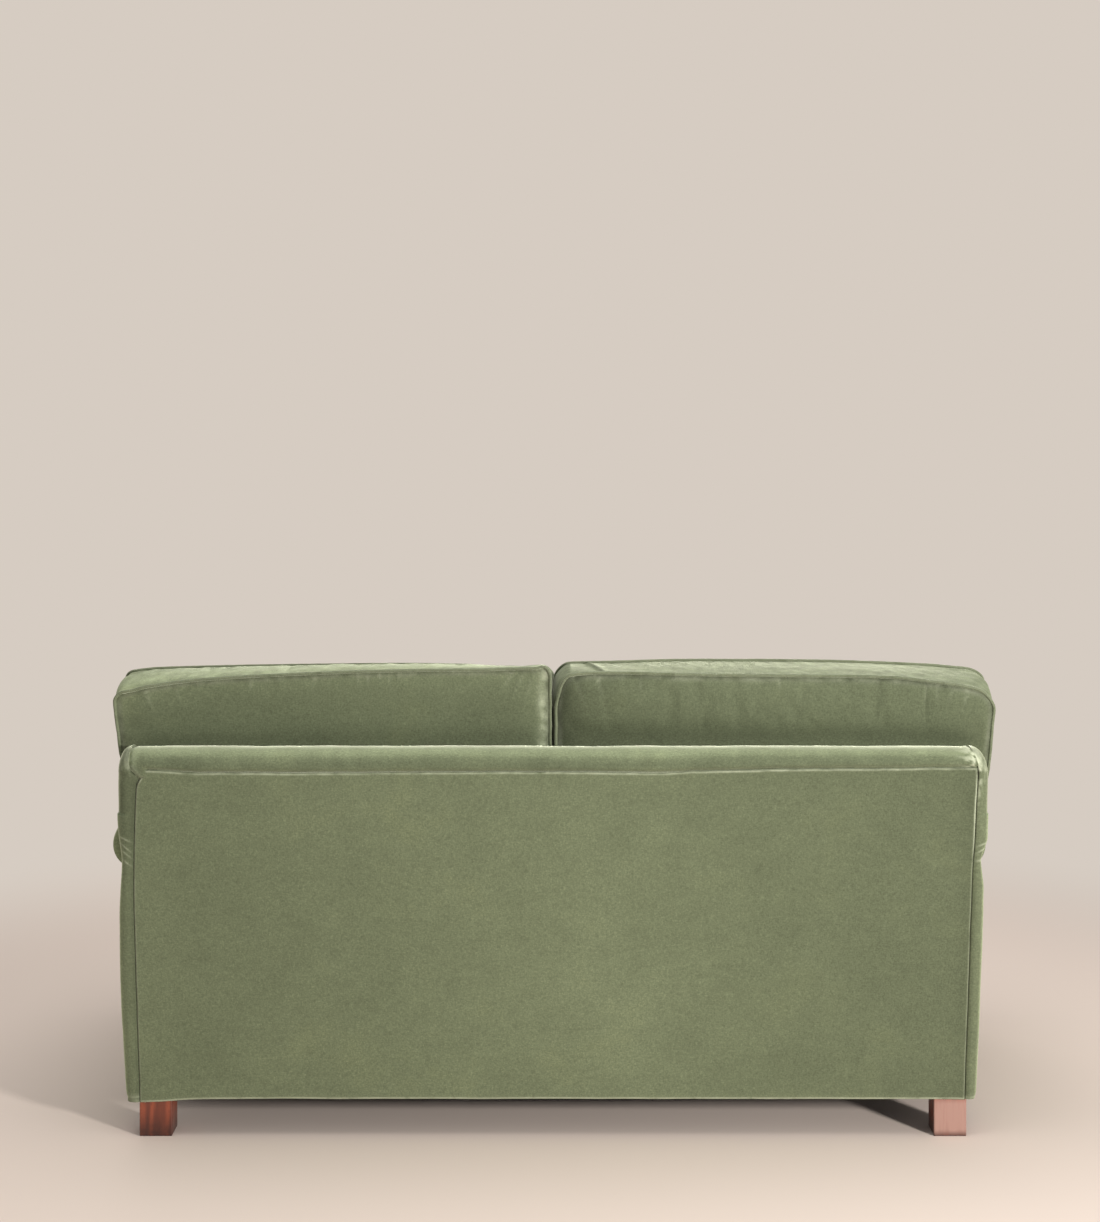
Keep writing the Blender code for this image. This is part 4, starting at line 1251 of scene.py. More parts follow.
@dataclass
class InsideBack(Part):
    """The covered inside of the back, behind the loose cushions."""

    foot: float = 0.26
    shoulder: float = 0.6035
    head: float = 0.683
    narrow: float = 0.6934
    wide: float = 0.7735
    rear: float = 0.0562
    front: float = 0.1045
    edge: float = 0.01

    def build(self) -> None:
        """Builds and hands over the inside back."""
        fine = (0.0012, 0.003, 0.006, 0.01)
        rings = []
        for z in spaced(self.foot, self.shoulder - 0.0008, 0.016) + spaced(self.shoulder, self.head, 0.008):
            half = self.wide if z >= self.shoulder else self.narrow
            front = []
            for share in spaced(-1.0, 1.0, 0.02, fine, fine):
                x = share * half
                from_side = min(half - abs(x), self.edge)
                rounding = self.edge - sqrt(self.edge ** 2 - (self.edge - from_side) ** 2)
                slack = 0.001 * ripple((x, 0, z), 0.12, 31.0) + 0.001
                front.append((x, self.front - rounding * 0.8 - slack))
            rings.append([raked(x, depth, z)
                          for x, depth in [(-half, self.rear)] + front + [(half, self.rear)]])
        self.kit.cover("inside_back_cover", rings, ["inside_back"], 0.5)


@dataclass
class Arm(Part):
    """One rolled arm: the padded inside with its roll, the outside panel, and the piped facing in front."""

    side: Side
    pad_foot: float = 0.2206
    inner: float = 0.694
    roll_x: float = 0.749
    roll_z: float = 0.5479
    roll_radius: float = 0.0547
    panel_outer: float = 0.78
    leg_x: float = 0.7742
    post_inner: float = 0.7184
    front: float = -0.448
    facing_thickness: float = 0.02
    facing_crown: float = 0.005
    welt_radius: float = 0.0036
    rear_depth: float = 0.0528
    corner_depth: float = 0.088
    corner_low: float = 0.562
    corner_high: float = 0.6042
    inside_steps: int = 24
    rear_shrink: Dict[Side, float] = sided(0.0006, 0.011)
    rear_slump: Dict[Side, float] = sided(0.0068, 0.0)

    def arc(self, steps: int, less: float = 0.0) -> List[Pair]:
        """The roll's outline, from the inside of the arm over the top to the neck.

        Args:
            steps: How many parts.
            less: How much smaller than the roll its radius is.

        Returns:
            X and Z of each point, on the left side.
        """
        radius = self.roll_radius - less
        end = -acos(min((self.panel_outer - self.roll_x) / self.roll_radius, 1.0))
        angles = [pi + (end - pi) * step / steps for step in range(steps + 1)]
        return [(self.roll_x + radius * cos(angle), self.roll_z + radius * sin(angle))
                for angle in angles]

    def build(self) -> None:
        """Builds and hands over the arm's pieces."""
        self._pad()
        self._outside()
        self._corner()
        self._facing()

    def along(self, share: float, z: float) -> float:
        """Y of a place between the facing and the back, by its share of the way."""
        start = self.front + self.facing_thickness + 0.0003
        return start + (RAKE.y(self.rear_depth, z) - start) * share

    def _pad(self) -> None:
        """The inside arm and its roll, swept from the facing to the back."""
        length = self.along(1.0, self.roll_z) - self.along(0.0, 0.0)
        inside = [(self.inner, self.pad_foot + (self.roll_z - self.pad_foot) * part / self.inside_steps)
                  for part in range(self.inside_steps)]
        rings = []
        for share in spaced(0.0, 1.0, 0.0105, (0.0012, 0.003, 0.006, 0.01, 0.015),
                            (0.0012, 0.003, 0.006, 0.01, 0.016, 0.024, 0.034)):
            from_front, from_rear = share * length, (1 - share) * length
            dip = 0.0022 * bell(from_front, 0.004)
            shrink = self.rear_shrink[self.side] * bell(from_rear, 0.045) + 0.003 * bell(from_rear, 0.006)
            section = inside + self.arc(36, dip + shrink)
            ring: Ring = []
            for index, (x, z) in enumerate(section):
                y = self.along(share, z)
                if index >= self.inside_steps:
                    away = Vector((x - self.roll_x, z - self.roll_z)).normalized()
                    swell = 0.0011 * ripple((x, y, z), 0.11, 41.0) + 0.0004 * ripple((x, y, z), 0.03, 43.0)
                    swell += shrink * max((index - 48) / 12, 0.0)
                    slump = self.rear_slump[self.side] * max(away.x, 0.0) * bell(from_rear, 0.06)
                    x, z = x + away.x * swell + slump, z + away.y * swell - 1.3 * slump
                else:
                    x += 0.0008 * ripple((0, y, z), 0.1, 44.0) + 0.0008 + dip * 0.5
                # Painted light: lighter near the top of the roll, and much lighter on the rear end of the
                # left roll, which lies in shade; a pale crush and highlight at the front edge and along the
                # top.
                tone = 0.12 * bell(index - 40, 9.0) + self.side.pick(1.0, 0.2) * bell(from_rear, 0.03)
                ring.append(((self.side.value * x, y, z), tone,
                             0.35 * bell(from_front, 0.004) + 0.12 * bell(index - 42, 5.0)))
            rail = self.roll_z + 0.0003
            closing = ((self.leg_x, section[-1][1]), (self.leg_x, rail), (self.post_inner, rail),
                       (self.post_inner, self.pad_foot))
            rings.append(ring + [((self.side.value * x, self.along(share, z), z), 0.0, 0.0)
                                 for x, z in closing])
        self.kit.cover("arm_roll_" + self.side.word, rings, ["arm_pad_" + self.side.word], 0.7)

    def _outside(self) -> None:
        """The covered panel on the outside of the arm."""
        top = self.arc(36)[-1][1] - 0.0012
        fine = (0.001, 0.002, 0.0035, 0.006, 0.01, 0.016)
        rings = []
        for z in spaced(HEM, top, 0.01, EDGE_STEPS[1:7], EDGE_STEPS[1:7]):
            start, end = self.along(0.0, z), self.along(1.0, z)
            ring: Ring = []
            for share in spaced(0.0, 1.0, 0.012, fine, fine):
                y = self.along(share, z)
                edge = min((end - start) * min(share, 1 - share), top - z)
                out = 0.0018 * (1 - bell(edge, 0.05)) - 0.003 * bell(edge, 0.0026)
                out += 0.0008 * ripple((0, y, z), 0.16, 47.0) * (1 - bell(edge, 0.02))
                out -= 0.0016 * bell(z - HEM, 0.0016)
                crush = 0.15 * bell(edge - 0.002, 0.002) + 0.2 * bell(z - HEM - 0.002, 0.002)
                ring.append(((self.side.value * (self.panel_outer + out), y, z), 0.0, crush))
            rings.append(ring + [((self.side.value * self.leg_x, y, z), 0.0, 0.0) for y in (end, start)])
        self.kit.cover("arm_panel_" + self.side.word, rings, ["outside_arm_" + self.side.word])

    def _corner(self) -> None:
        """The cloth drawn in between the roll, the inside back and the ear above, so the corner is closed."""
        rings = []
        for level in range(9):
            z = self.corner_low + (self.corner_high - self.corner_low) * level / 8
            reach = sqrt(max(self.roll_radius ** 2 - (z - self.roll_z) ** 2, 0.0))
            inner, outer = self.inner - 0.0012, self.roll_x + 0.75 * max(reach, 0.02)
            places = [inner + (outer - inner) * step / 10 for step in range(11)]
            front = [(x, self.corner_depth - 0.003 * bell(x - inner - 0.012, 0.01)) for x in places]
            back = [(x, self.corner_depth - 0.006) for x in reversed(places)]
            # Tone a little darker: painted shade in the corner.
            rings.append([raked(self.side.value * x, depth, z, -0.1) for x, depth in front + back])
        self.kit.cover("arm_corner_cover_" + self.side.word, rings)

    def _facing(self) -> None:
        """The front of the arm: a crowned panel and the piping round it."""
        arc = self.arc(48)
        neck = arc[-1][1]
        up = [(self.inner, z) for z in spaced(HEM, self.roll_z, 0.012, EDGE_STEPS[1:6])][:-1]
        down = [(self.panel_outer, z) for z in reversed(spaced(HEM, neck, 0.012, EDGE_STEPS[1:6]))][1:]
        outline = up + arc + down
        middle_x = (self.inner + self.panel_outer) / 2
        centres = []
        for x, z in outline:
            if neck < z and (x, z) in arc or z >= self.roll_z:
                centres.append((self.roll_x, self.roll_z))
            else:
                share = unit((z - HEM - 0.02) / (self.roll_z - HEM - 0.02))
                centres.append((middle_x + (self.roll_x - middle_x) * share ** 4, z))
        rings = [[((self.side.value * x, y, z), 0.0, 0.1) for x, z in outline]
                 for y in (self.front + self.facing_thickness, self.front + 0.004)]
        for part in (0.03, 0.07, 0.12, 0.2, 0.32, 0.48, 0.66, 0.84):
            bulge = self.facing_crown * (1 - (1 - part) ** 2.4) - 0.004 * bell(part, 0.05)
            ring: Ring = []
            for (x, z), (cx, cz) in zip(outline, centres):
                px, pz = x + (cx - x) * part, z + (cz - z) * part
                slack = 0.0006 * ripple((px, 0, pz), 0.07, 51.0)
                ring.append(((self.side.value * px, self.front - bulge - slack, pz), 0.0,
                             0.22 * bell(part - 0.1, 0.07)))
            rings.append(ring)
        self.kit.cover("arm_facing_cover_" + self.side.word, rings, ["arm_facing_" + self.side.word])
        path = [(self.side.value * (x + (0.0012 if x > self.roll_x else -0.0002 if z < self.roll_z else 0.0)),
                 self.front + 0.0006, z) for x, z in [(self.inner + 0.0022, z) for _, z in up] + arc + down]
        piping = self.kit.welt.lay("facing_piping_" + self.side.word, path, False, {
            "Radius": self.welt_radius, "Wander": 0.0004, "Tone": 0.1, "Crush": 0.16,
            "Seed": 5.0 + self.side.value, "Material": self.kit.velvet})
        self.kit.hand_over(piping, VELVET_SLOT, FRAME_BODY)


@dataclass
class SeatBase(Part):
    """The front border, the deck under the seat cushions and the cloth under the sofa."""

    reach: float = 0.6934
    front: float = -0.448
    border_thickness: float = 0.02
    deck_top: float = 0.2846
    deck_bottom: float = 0.2249
    back_depth: float = 0.1056
    crown: float = 0.004
    cloth_top: float = 0.0699
    cloth_thickness: float = 0.0011
    cloth_sag: float = 0.0085
    foot_inner: float = 0.699
    cloth_reach: float = 0.7735
    springs_start: float = -0.4137
    spring_arch: float = 0.12

    def build(self) -> None:
        """Builds and hands over the three pieces and the staples."""
        self._border()
        self._deck()
        self._dust_cover()

    def _border(self) -> None:
        """The covered front of the seat."""
        rings = []
        fine = [part / self.reach for part in EDGE_STEPS[1:]]
        for share in spaced(-1.0, 1.0, 0.01 / self.reach, fine, fine):
            x = share * self.reach
            from_side = self.reach - abs(x)
            ring: Ring = []
            for z in spaced(HEM, self.deck_top - 0.0004, 0.01, EDGE_STEPS[1:7], EDGE_STEPS[1:9]):
                from_top, from_hem = self.deck_top - z, z - HEM
                out = self.crown * (1 - bell(min(from_top, from_hem), 0.05)) * (1 - bell(from_side, 0.03))
                out -= (0.006 * bell(from_top, 0.006) + 0.002 * bell(from_hem, 0.002)
                        + 0.002 * bell(from_side, 0.003))
                out += 0.0009 * ripple((x, 0, z), 0.12, 61.0)
                crush = 0.4 * bell(from_hem - 0.002, 0.002) + 0.25 * bell(from_top - 0.006, 0.004)
                ring.append(((x, self.front - out, z), 0.0, crush))
            back = self.front + self.border_thickness
            rings.append(ring + [((x, back, z), 0.0, 0.0) for z in (self.deck_top - 0.0004, HEM)])
        self.kit.cover("front_border_cover", rings, ["front_border"])

    def _spring_arch(self, y: float) -> float:
        """How far the arched springs lift the underside of the deck at a place along them."""
        share = unit((y - self.springs_start) / (RAKE.y(0.0323, 0.2203) - self.springs_start))
        return self.spring_arch * share * (1 - share)

    def _deck(self) -> None:
        """The padded deck in lining cloth."""
        start = self.front + self.border_thickness + 0.0003
        low_end, high_end = (RAKE.y(self.back_depth, z) for z in (self.deck_bottom, self.deck_top))
        fine = (0.002, 0.005, 0.009, 0.015)
        rings = []
        for share in spaced(-1.0, 1.0, 0.018, fine, fine):
            x = share * self.reach
            from_side = self.reach - abs(x)
            ring: Ring = []
            for part in spaced(0.0, 1.0, 0.04):
                y = start + (low_end - start) * part
                ring.append(((x, y, self.deck_bottom + self._spring_arch(y)), 0.0, 0.0))
            for part in reversed(spaced(0.0, 1.0, 0.022, (0.002, 0.006, 0.012, 0.02), (0.004, 0.01, 0.018))):
                y = start + (high_end - start) * part
                edge = min((high_end - start) * min(part, 1 - part), from_side)
                sink = 0.0032 * bell(edge, 0.007) + 0.0008 * (1 + ripple((x, y, 0), 0.09, 65.0))
                ring.append(((x, y, self.deck_top - sink), 0.0, 0.0))
            rings.append(ring)
        self.kit.cover("deck_cover", rings, ["seat_deck"], 0.6, self.kit.lining, "deck_cloth")

    def _dust_cover(self) -> None:
        """The thin black cloth under the rails, cut back round the feet, and the staples that hold it."""
        inner, outer = self.foot_inner, self.cloth_reach
        whole = (-0.4276, RAKE.y(0.0124, 0.0703))
        notched = (-0.3818, RAKE.y(0.0662, 0.0703))
        fine = [part / 0.8 for part in (0.0015, 0.003, 0.005, 0.008, 0.012, 0.018, 0.026)]
        rings = []
        for x in [-outer, -inner - 0.0012] + spaced(-inner, inner, 0.02) + [inner + 0.0012, outer]:
            front, rear = whole if abs(x) <= inner else notched
            tight = max(1 - (x / inner) ** 2, 0.0) ** 0.6
            upper = []
            for part in spaced(0.0, 1.0, 0.04, fine, fine):
                y = front + (rear - front) * part
                held = 1 - exp(-(min(y - front, rear - y) / 0.0055) ** 2)
                drop = (self.cloth_sag + 0.0006 * ripple((x, y, 0), 0.09, 71.0)) * tight * held
                upper.append(((x, y, self.cloth_top - drop), 0.0, 0.0))
            rings.append(upper + [((x, y, z - self.cloth_thickness), 0.0, 0.0)
                                  for (x, y, z), _, _ in reversed(upper)])
        piece = self.kit.cover("dust_cloth", rings, ["dust_cover"], None, self.kit.dust_cloth,
                               "black_dust_cloth")
        inset, level = 0.012, self.cloth_top - self.cloth_thickness - 0.0004
        for word, y, seed in (("front", whole[0] + inset, 5), ("rear", whole[1] - inset, 6)):
            row = self.kit.staples.lay(
                "dust_cloth_staples_" + word, [(-inner + 0.02, y, level), (inner - 0.02, y, level)], False,
                {"Step": 0.038, "Seed": seed, "Material": self.kit.steel})
            self.kit.hand_over(row, "spring_steel", FRAME_BODY)


# The loose cushions

Cell = Tuple[int, int]
CLOTH = {"quality": 5, "mass": 0.3, "tension_stiffness": 14, "compression_stiffness": 14,
         "shear_stiffness": 6, "bending_stiffness": 0.6, "use_pressure": True, "uniform_pressure_force": 4.0,
         "vertex_group_mass": "pins"}


@dataclass
class Spot:
    """A place on a cushion: its plan place, how far it is through, the nearest seam and the way outwards."""

    u: float
    v: float
    through: float
    edge: float = 0.0
    out: Pair = (0.0, 0.0)


def vectors(items: Any, key: str) -> np.ndarray:
    """A row of three numbers for each item of a Blender collection.

    Args:
        items: The collection.
        key: What is read from each item.

    Returns:
        The rows.
    """
    values = np.empty(len(items) * 3)
    items.foreach_get(key, values)
    return values.reshape(-1, 3)


def turns(ring: List[Any]) -> List[Any]:
    """Each two neighbours round a ring."""
    return list(zip(ring, ring[1:] + ring[:1]))


def corners_of(cell: Cell) -> List[Cell]:
    """The grid corners round a cell, anticlockwise."""
    column, row = cell
    return [(column, row), (column + 1, row), (column + 1, row + 1), (column, row + 1)]


@dataclass
class LooseCushion(Part):
    """A boxed cushion: near and far panels on one plan, a boxing strip between them, and two piped seams."""

    side: Side
    kind: str = ""
    cell: float = 0.0088
    rows: int = 16
    inset: float = 0.0036
    cap: float = 0.012
    growth: float = -0.022
    frames: int = 20
    welt_radius: float = 0.0029
    welt_tone: float = 0.1
    welt_out: float = 0.0022
    pale_boxing: bool = False
    crown_reach: float = 0.165
    corner_ease: float = 0.012
    seam_fine: Tuple[float, ...] = (0.003, 0.007, 0.013)

    def __post_init__(self) -> None:
        """Names the cushion for its side."""
        self.node = self.kind + "_cushion_" + self.side.word
        self.name, self.body = "loose_" + self.node, "loose_" + self.kind + "_" + self.side.word

    def outline(self) -> List[Pair]:
        """The plan's corners, anticlockwise."""
        raise NotImplementedError

    def lines(self) -> Tuple[List[float], List[float]]:
        """The grid lines across the plan and up it."""
        raise NotImplementedError

    def radius(self, corner: Pair) -> float:
        """How round a corner of the plan is."""
        raise NotImplementedError

    def put(self, spot: Spot) -> Point:
        """Where a place on the cushion lies in the sofa."""
        raise NotImplementedError

    def free(self, spot: Spot) -> float:
        """How far a place may move when the cushion fills, from 0 to 1."""
        raise NotImplementedError

    def finish(self, spot: Spot, place: Point) -> Tuple[float, float, float]:
        """How far the cover stands out at a place, its tone and its pale crush and highlight."""
        raise NotImplementedError

    def crowned(self, spot: Spot) -> float:
        """How near a panel's place is to the full height of its crown, from 0 to 1."""
        return 1 - (1 - min(spot.edge / self.crown_reach, 1.0)) ** 2.2

    def snug(self, spot: Spot) -> float:
        """How far a flat panel stands out from its seam."""
        return self.inset * (1 - bell(spot.edge, 0.011))

    def edge_distance(self, u: float, v: float) -> float:
        """The distance from a plan place to the outline, eased where two edges are near.

        Args:
            u: The place across the plan.
            v: The place up it.

        Returns:
            The distance.
        """
        found = []
        for (u0, v0), (u1, v1) in turns(self.outline()):
            along = (u - u0) * (u1 - u0) + (v - v0) * (v1 - v0)
            share = unit(along / ((u1 - u0) ** 2 + (v1 - v0) ** 2))
            found.append(hypot(u - u0 - share * (u1 - u0), v - v0 - share * (v1 - v0)))
        least, ease = min(found), self.corner_ease
        near = log(sum(exp((least - one) / ease) for one in found))
        return max(least - ease * near * min(least / 0.03, 1.0), 0.0)

    def rounded(self, u: float, v: float) -> Pair:
        """A plan place, drawn in where it is near one of the outline's outward corners.

        Args:
            u: The place across the plan.
            v: The place up it.

        Returns:
            The place with its corner rounded.
        """
        corners = self.outline()
        for index, (cu, cv) in enumerate(corners):
            before, after = corners[index - 1], corners[(index + 1) % len(corners)]
            if (cu - before[0]) * (after[1] - cv) - (cv - before[1]) * (after[0] - cu) <= 0:
                continue
            reach = self.radius((cu, cv))
            su = copysign(1.0, (before[0] + after[0]) / 2 - cu)
            sv = copysign(1.0, (before[1] + after[1]) / 2 - cv)
            a, b = 1 - (u - cu) * su / reach, 1 - (v - cv) * sv / reach
            if 0 < a <= 1.0001 and 0 < b <= 1.0001:
                a, b = a * sqrt(1 - b * b / 2), b * sqrt(1 - a * a / 2)
                return cu + su * reach * (1 - a), cv + sv * reach * (1 - b)
        return u, v

    def _cells(self, columns: List[float], rows: List[float]) -> List[Cell]:
        """The grid cells whose middle lies inside the outline.

        Args:
            columns: The grid lines across.
            rows: The grid lines up.

        Returns:
            Column and row of each.
        """
        edges = turns(self.outline())
        cells = []
        for column, row in ((c, r) for c in range(len(columns) - 1) for r in range(len(rows) - 1)):
            u, v = (columns[column] + columns[column + 1]) / 2, (rows[row] + rows[row + 1]) / 2
            crossed = [u < u0 for (u0, v0), (_, v1) in edges if min(v0, v1) < v < max(v0, v1)]
            if sum(crossed) % 2 == 1:
                cells.append((column, row))
        return cells

    @staticmethod
    def _rim(cells: Sequence[Cell]) -> List[Cell]:
        """The grid corners round the panels, in order.

        Args:
            cells: Column and row of each covered cell.

        Returns:
            Column and row of each corner round the rim.
        """
        runs = {run for cell in cells for run in turns(corners_of(cell))}
        follows = {start: end for start, end in runs if (end, start) not in runs}
        loop = [min(follows)]
        while follows[loop[-1]] != loop[0]:
            loop.append(follows[loop[-1]])
        return loop

    def form(self) -> Tuple[List[Spot], List[Tuple[int, ...]], List[List[int]]]:
        """The cushion's places, its faces, and the two seams as loops of places.

        Returns:
            The places, the faces by index, and the near and far seams.
        """
        columns, rows = self.lines()
        cells = self._cells(columns, rows)
        spots: List[Spot] = []
        faces: List[Tuple[int, ...]] = []
        ends: Dict[Cell, List[int]] = {}
        for key in sorted({corner for cell in cells for corner in corners_of(cell)}):
            u, v = self.rounded(columns[key[0]], rows[key[1]])
            edge = self.edge_distance(columns[key[0]], rows[key[1]])
            ends[key] = [len(spots), len(spots) + 1]
            spots += [Spot(u, v, 0.0, edge), Spot(u, v, 1.0, edge)]
        for cell in cells:
            faces.append(tuple(ends[key][0] for key in corners_of(cell)))
            faces.append(tuple(ends[key][1] for key in reversed(corners_of(cell))))
        rim = self._rim(cells)
        strips = []
        for index, key in enumerate(rim):
            here = spots[ends[key][0]]
            before, after = (spots[ends[rim[(index + step) % len(rim)]][0]] for step in (-1, 1))
            way = Vector((after.v - before.v, before.u - after.u)).normalized()
            for end in ends[key]:
                spots[end].out = (way.x, way.y)
            strip = [ends[key][0]]
            for step in range(1, self.rows):
                through = 0.45 * (0.5 - 0.5 * cos(pi * step / self.rows)) + 0.55 * step / self.rows
                strip.append(len(spots))
                spots.append(Spot(here.u, here.v, through, 0.0, (way.x, way.y)))
            strips.append(strip + [ends[key][1]])
        for here, after in turns(strips):
            faces += [(here[step], after[step], after[step + 1], here[step + 1]) for step in range(self.rows)]
        return spots, faces, [[strip[0] for strip in strips], [strip[-1] for strip in strips]]

    def _fill(self, data: bpy.types.Mesh, spots: Sequence[Spot], held: Set[int]) -> None:
        """Fills the cover as cloth under pressure, with its seams held, and limits how far it moves.

        Args:
            data: The cover's mesh, which is changed.
            spots: Its places.
            held: The places that are pinned.
        """
        rest = vectors(data.vertices, "co")
        cloth = linked(self.name + "_cloth", data.copy())
        pins = cloth.vertex_groups.new(name="pins")
        masks = np.array([self.free(spot) for spot in spots])
        pins.add([index for index, mask in enumerate(masks) if index in held or mask < 0.02], 1.0, "REPLACE")
        modifier = cloth.modifiers.new("filling", "CLOTH")
        for label, value in CLOTH.items():
            setattr(modifier.settings, label, value)
        modifier.settings.effector_weights.gravity = 0.0
        modifier.settings.shrink_min = self.growth
        modifier.collision_settings.use_collision = False
        modifier.collision_settings.use_self_collision = False
        scene = bpy.context.scene
        for moment in range(1, self.frames + 1):
            scene.frame_set(moment)
        filled = cloth.evaluated_get(bpy.context.evaluated_depsgraph_get()).to_mesh()
        shift = vectors(filled.vertices, "co") - rest
        scene.frame_set(1)
        length = np.linalg.norm(shift, axis=1)
        wanted = self.cap * np.tanh(length / self.cap)
        shift *= (wanted / np.maximum(length, 1e-9) * masks)[:, None]
        LOG.info("%s: filled, moved up to %.1f mm", self.name, 1000 * np.max(np.linalg.norm(shift, axis=1)))
        data.vertices.foreach_set("co", (rest + shift).reshape(-1))
        bpy.data.objects.remove(cloth, do_unlink=True)

    def build(self) -> None:
        """Builds and hands over the cushion and its piping."""
        spots, faces, seams = self.form()
        data = bpy.data.meshes.new(self.name)
        data.from_pydata([self.put(spot) for spot in spots], [], faces)
        for label, rows in (("plan", [(s.u, s.v, s.through) for s in spots]),
                            ("rim", [(s.edge, *s.out) for s in spots])):
            layer = data.attributes.new(label, "FLOAT_VECTOR", "POINT")
            layer.data.foreach_set("vector", np.array(rows, float).reshape(-1))
        self._fill(data, spots, set(seams[0]) | set(seams[1]))
        rough = linked(self.name, data)
        modifier = rough.modifiers.new("finer", "SUBSURF")
        modifier.levels = modifier.render_levels = 1
        piece = settled(self.name, rough)
        self._detail(piece)
        self.kit.hand_over(piece, VELVET_SLOT, self.body, [self.node], 0.75)
        for word, seam, inwards in (("near", seams[0], 1.0), ("far", seams[1], -1.0)):
            path = [self._welt_place(piece, spots[index], index) for index in seam]
            piping = self.kit.welt.lay(self.name + "_piping_" + word, path, True, {
                "Radius": self.welt_radius, "Wander": 0.0005, "Crush": 0.14, "Tone": self.welt_tone,
                "Spacing": 0.004, "Seed": 9.0 + self.side.value * inwards, "Material": self.kit.velvet})
            self.kit.hand_over(piping, VELVET_SLOT, self.body)

    def _welt_place(self, piece: Object, spot: Spot, index: int) -> Point:
        """A point of the piping, half out of the seam.

        Args:
            piece: The finished cover.
            spot: The seam's place.
            index: The seam's point in the cover.

        Returns:
            The point.
        """
        here, beside = (Vector(self.put(Spot(spot.u + spot.out[0] * step, spot.v + spot.out[1] * step,
                                             spot.through))) for step in (0.0, 0.001))
        return tuple(piece.data.vertices[index].co + (beside - here).normalized() * self.welt_out)

    def _detail(self, piece: Object) -> None:
        """Adds the gathers and creases, the tone with its painted shade and highlights, the pale crush and
        highlight, and the finishes.

        Args:
            piece: The subdivided cover.
        """
        data = piece.data
        plan, rim = (vectors(data.attributes[label].data, "vector") for label in ("plan", "rim"))
        for label in ("plan", "rim"):
            data.attributes.remove(data.attributes[label])
        places, normals = vectors(data.vertices, "co"), vectors(data.vertices, "normal")
        rows = zip(plan.tolist(), rim.tolist(), places.tolist())
        looks = np.array([self.finish(Spot(*at, edge, tuple(out)), tuple(place))
                          for at, (edge, *out), place in rows])
        data.vertices.foreach_set("co", (places + normals * looks[:, :1]).reshape(-1))
        write(data, {"tone": looks[:, 1], "crush": looks[:, 2]})
        data.polygons.foreach_set("use_smooth", np.ones(len(data.polygons), bool))
        data.materials.clear()
        for finish in (self.kit.velvet, self.kit.boxing):
            data.materials.append(finish)
        corners = np.empty(len(data.loops), int)
        data.loops.foreach_get("vertex_index", corners)
        middle = plan[corners, 2].reshape(-1, 4).mean(axis=1)
        boxed = self.pale_boxing & (middle > 0.01) & (middle < 0.99)
        data.polygons.foreach_set("material_index", boxed.astype(np.int32))
        data.update()

    @staticmethod
    def gather(spot: Spot, place: Point, along: float, deep: float) -> float:
        """Short gathers that run away from a seam.

        Args:
            spot: The place on the cushion.
            place: Where it lies in the sofa.
            along: The coordinate along the seam.
            deep: How far they reach.

        Returns:
            How far the cover stands out.
        """
        away = spot.edge if spot.edge > 0 else min(spot.through, 1 - spot.through) * 0.165
        waves = ripple((along, away * 0.25, place[1] * 0.1), 0.0125, 81.0)
        return waves * wear((along, 0.0, 0.0), 0.07, 83.0) * bell(away - 0.004, deep)


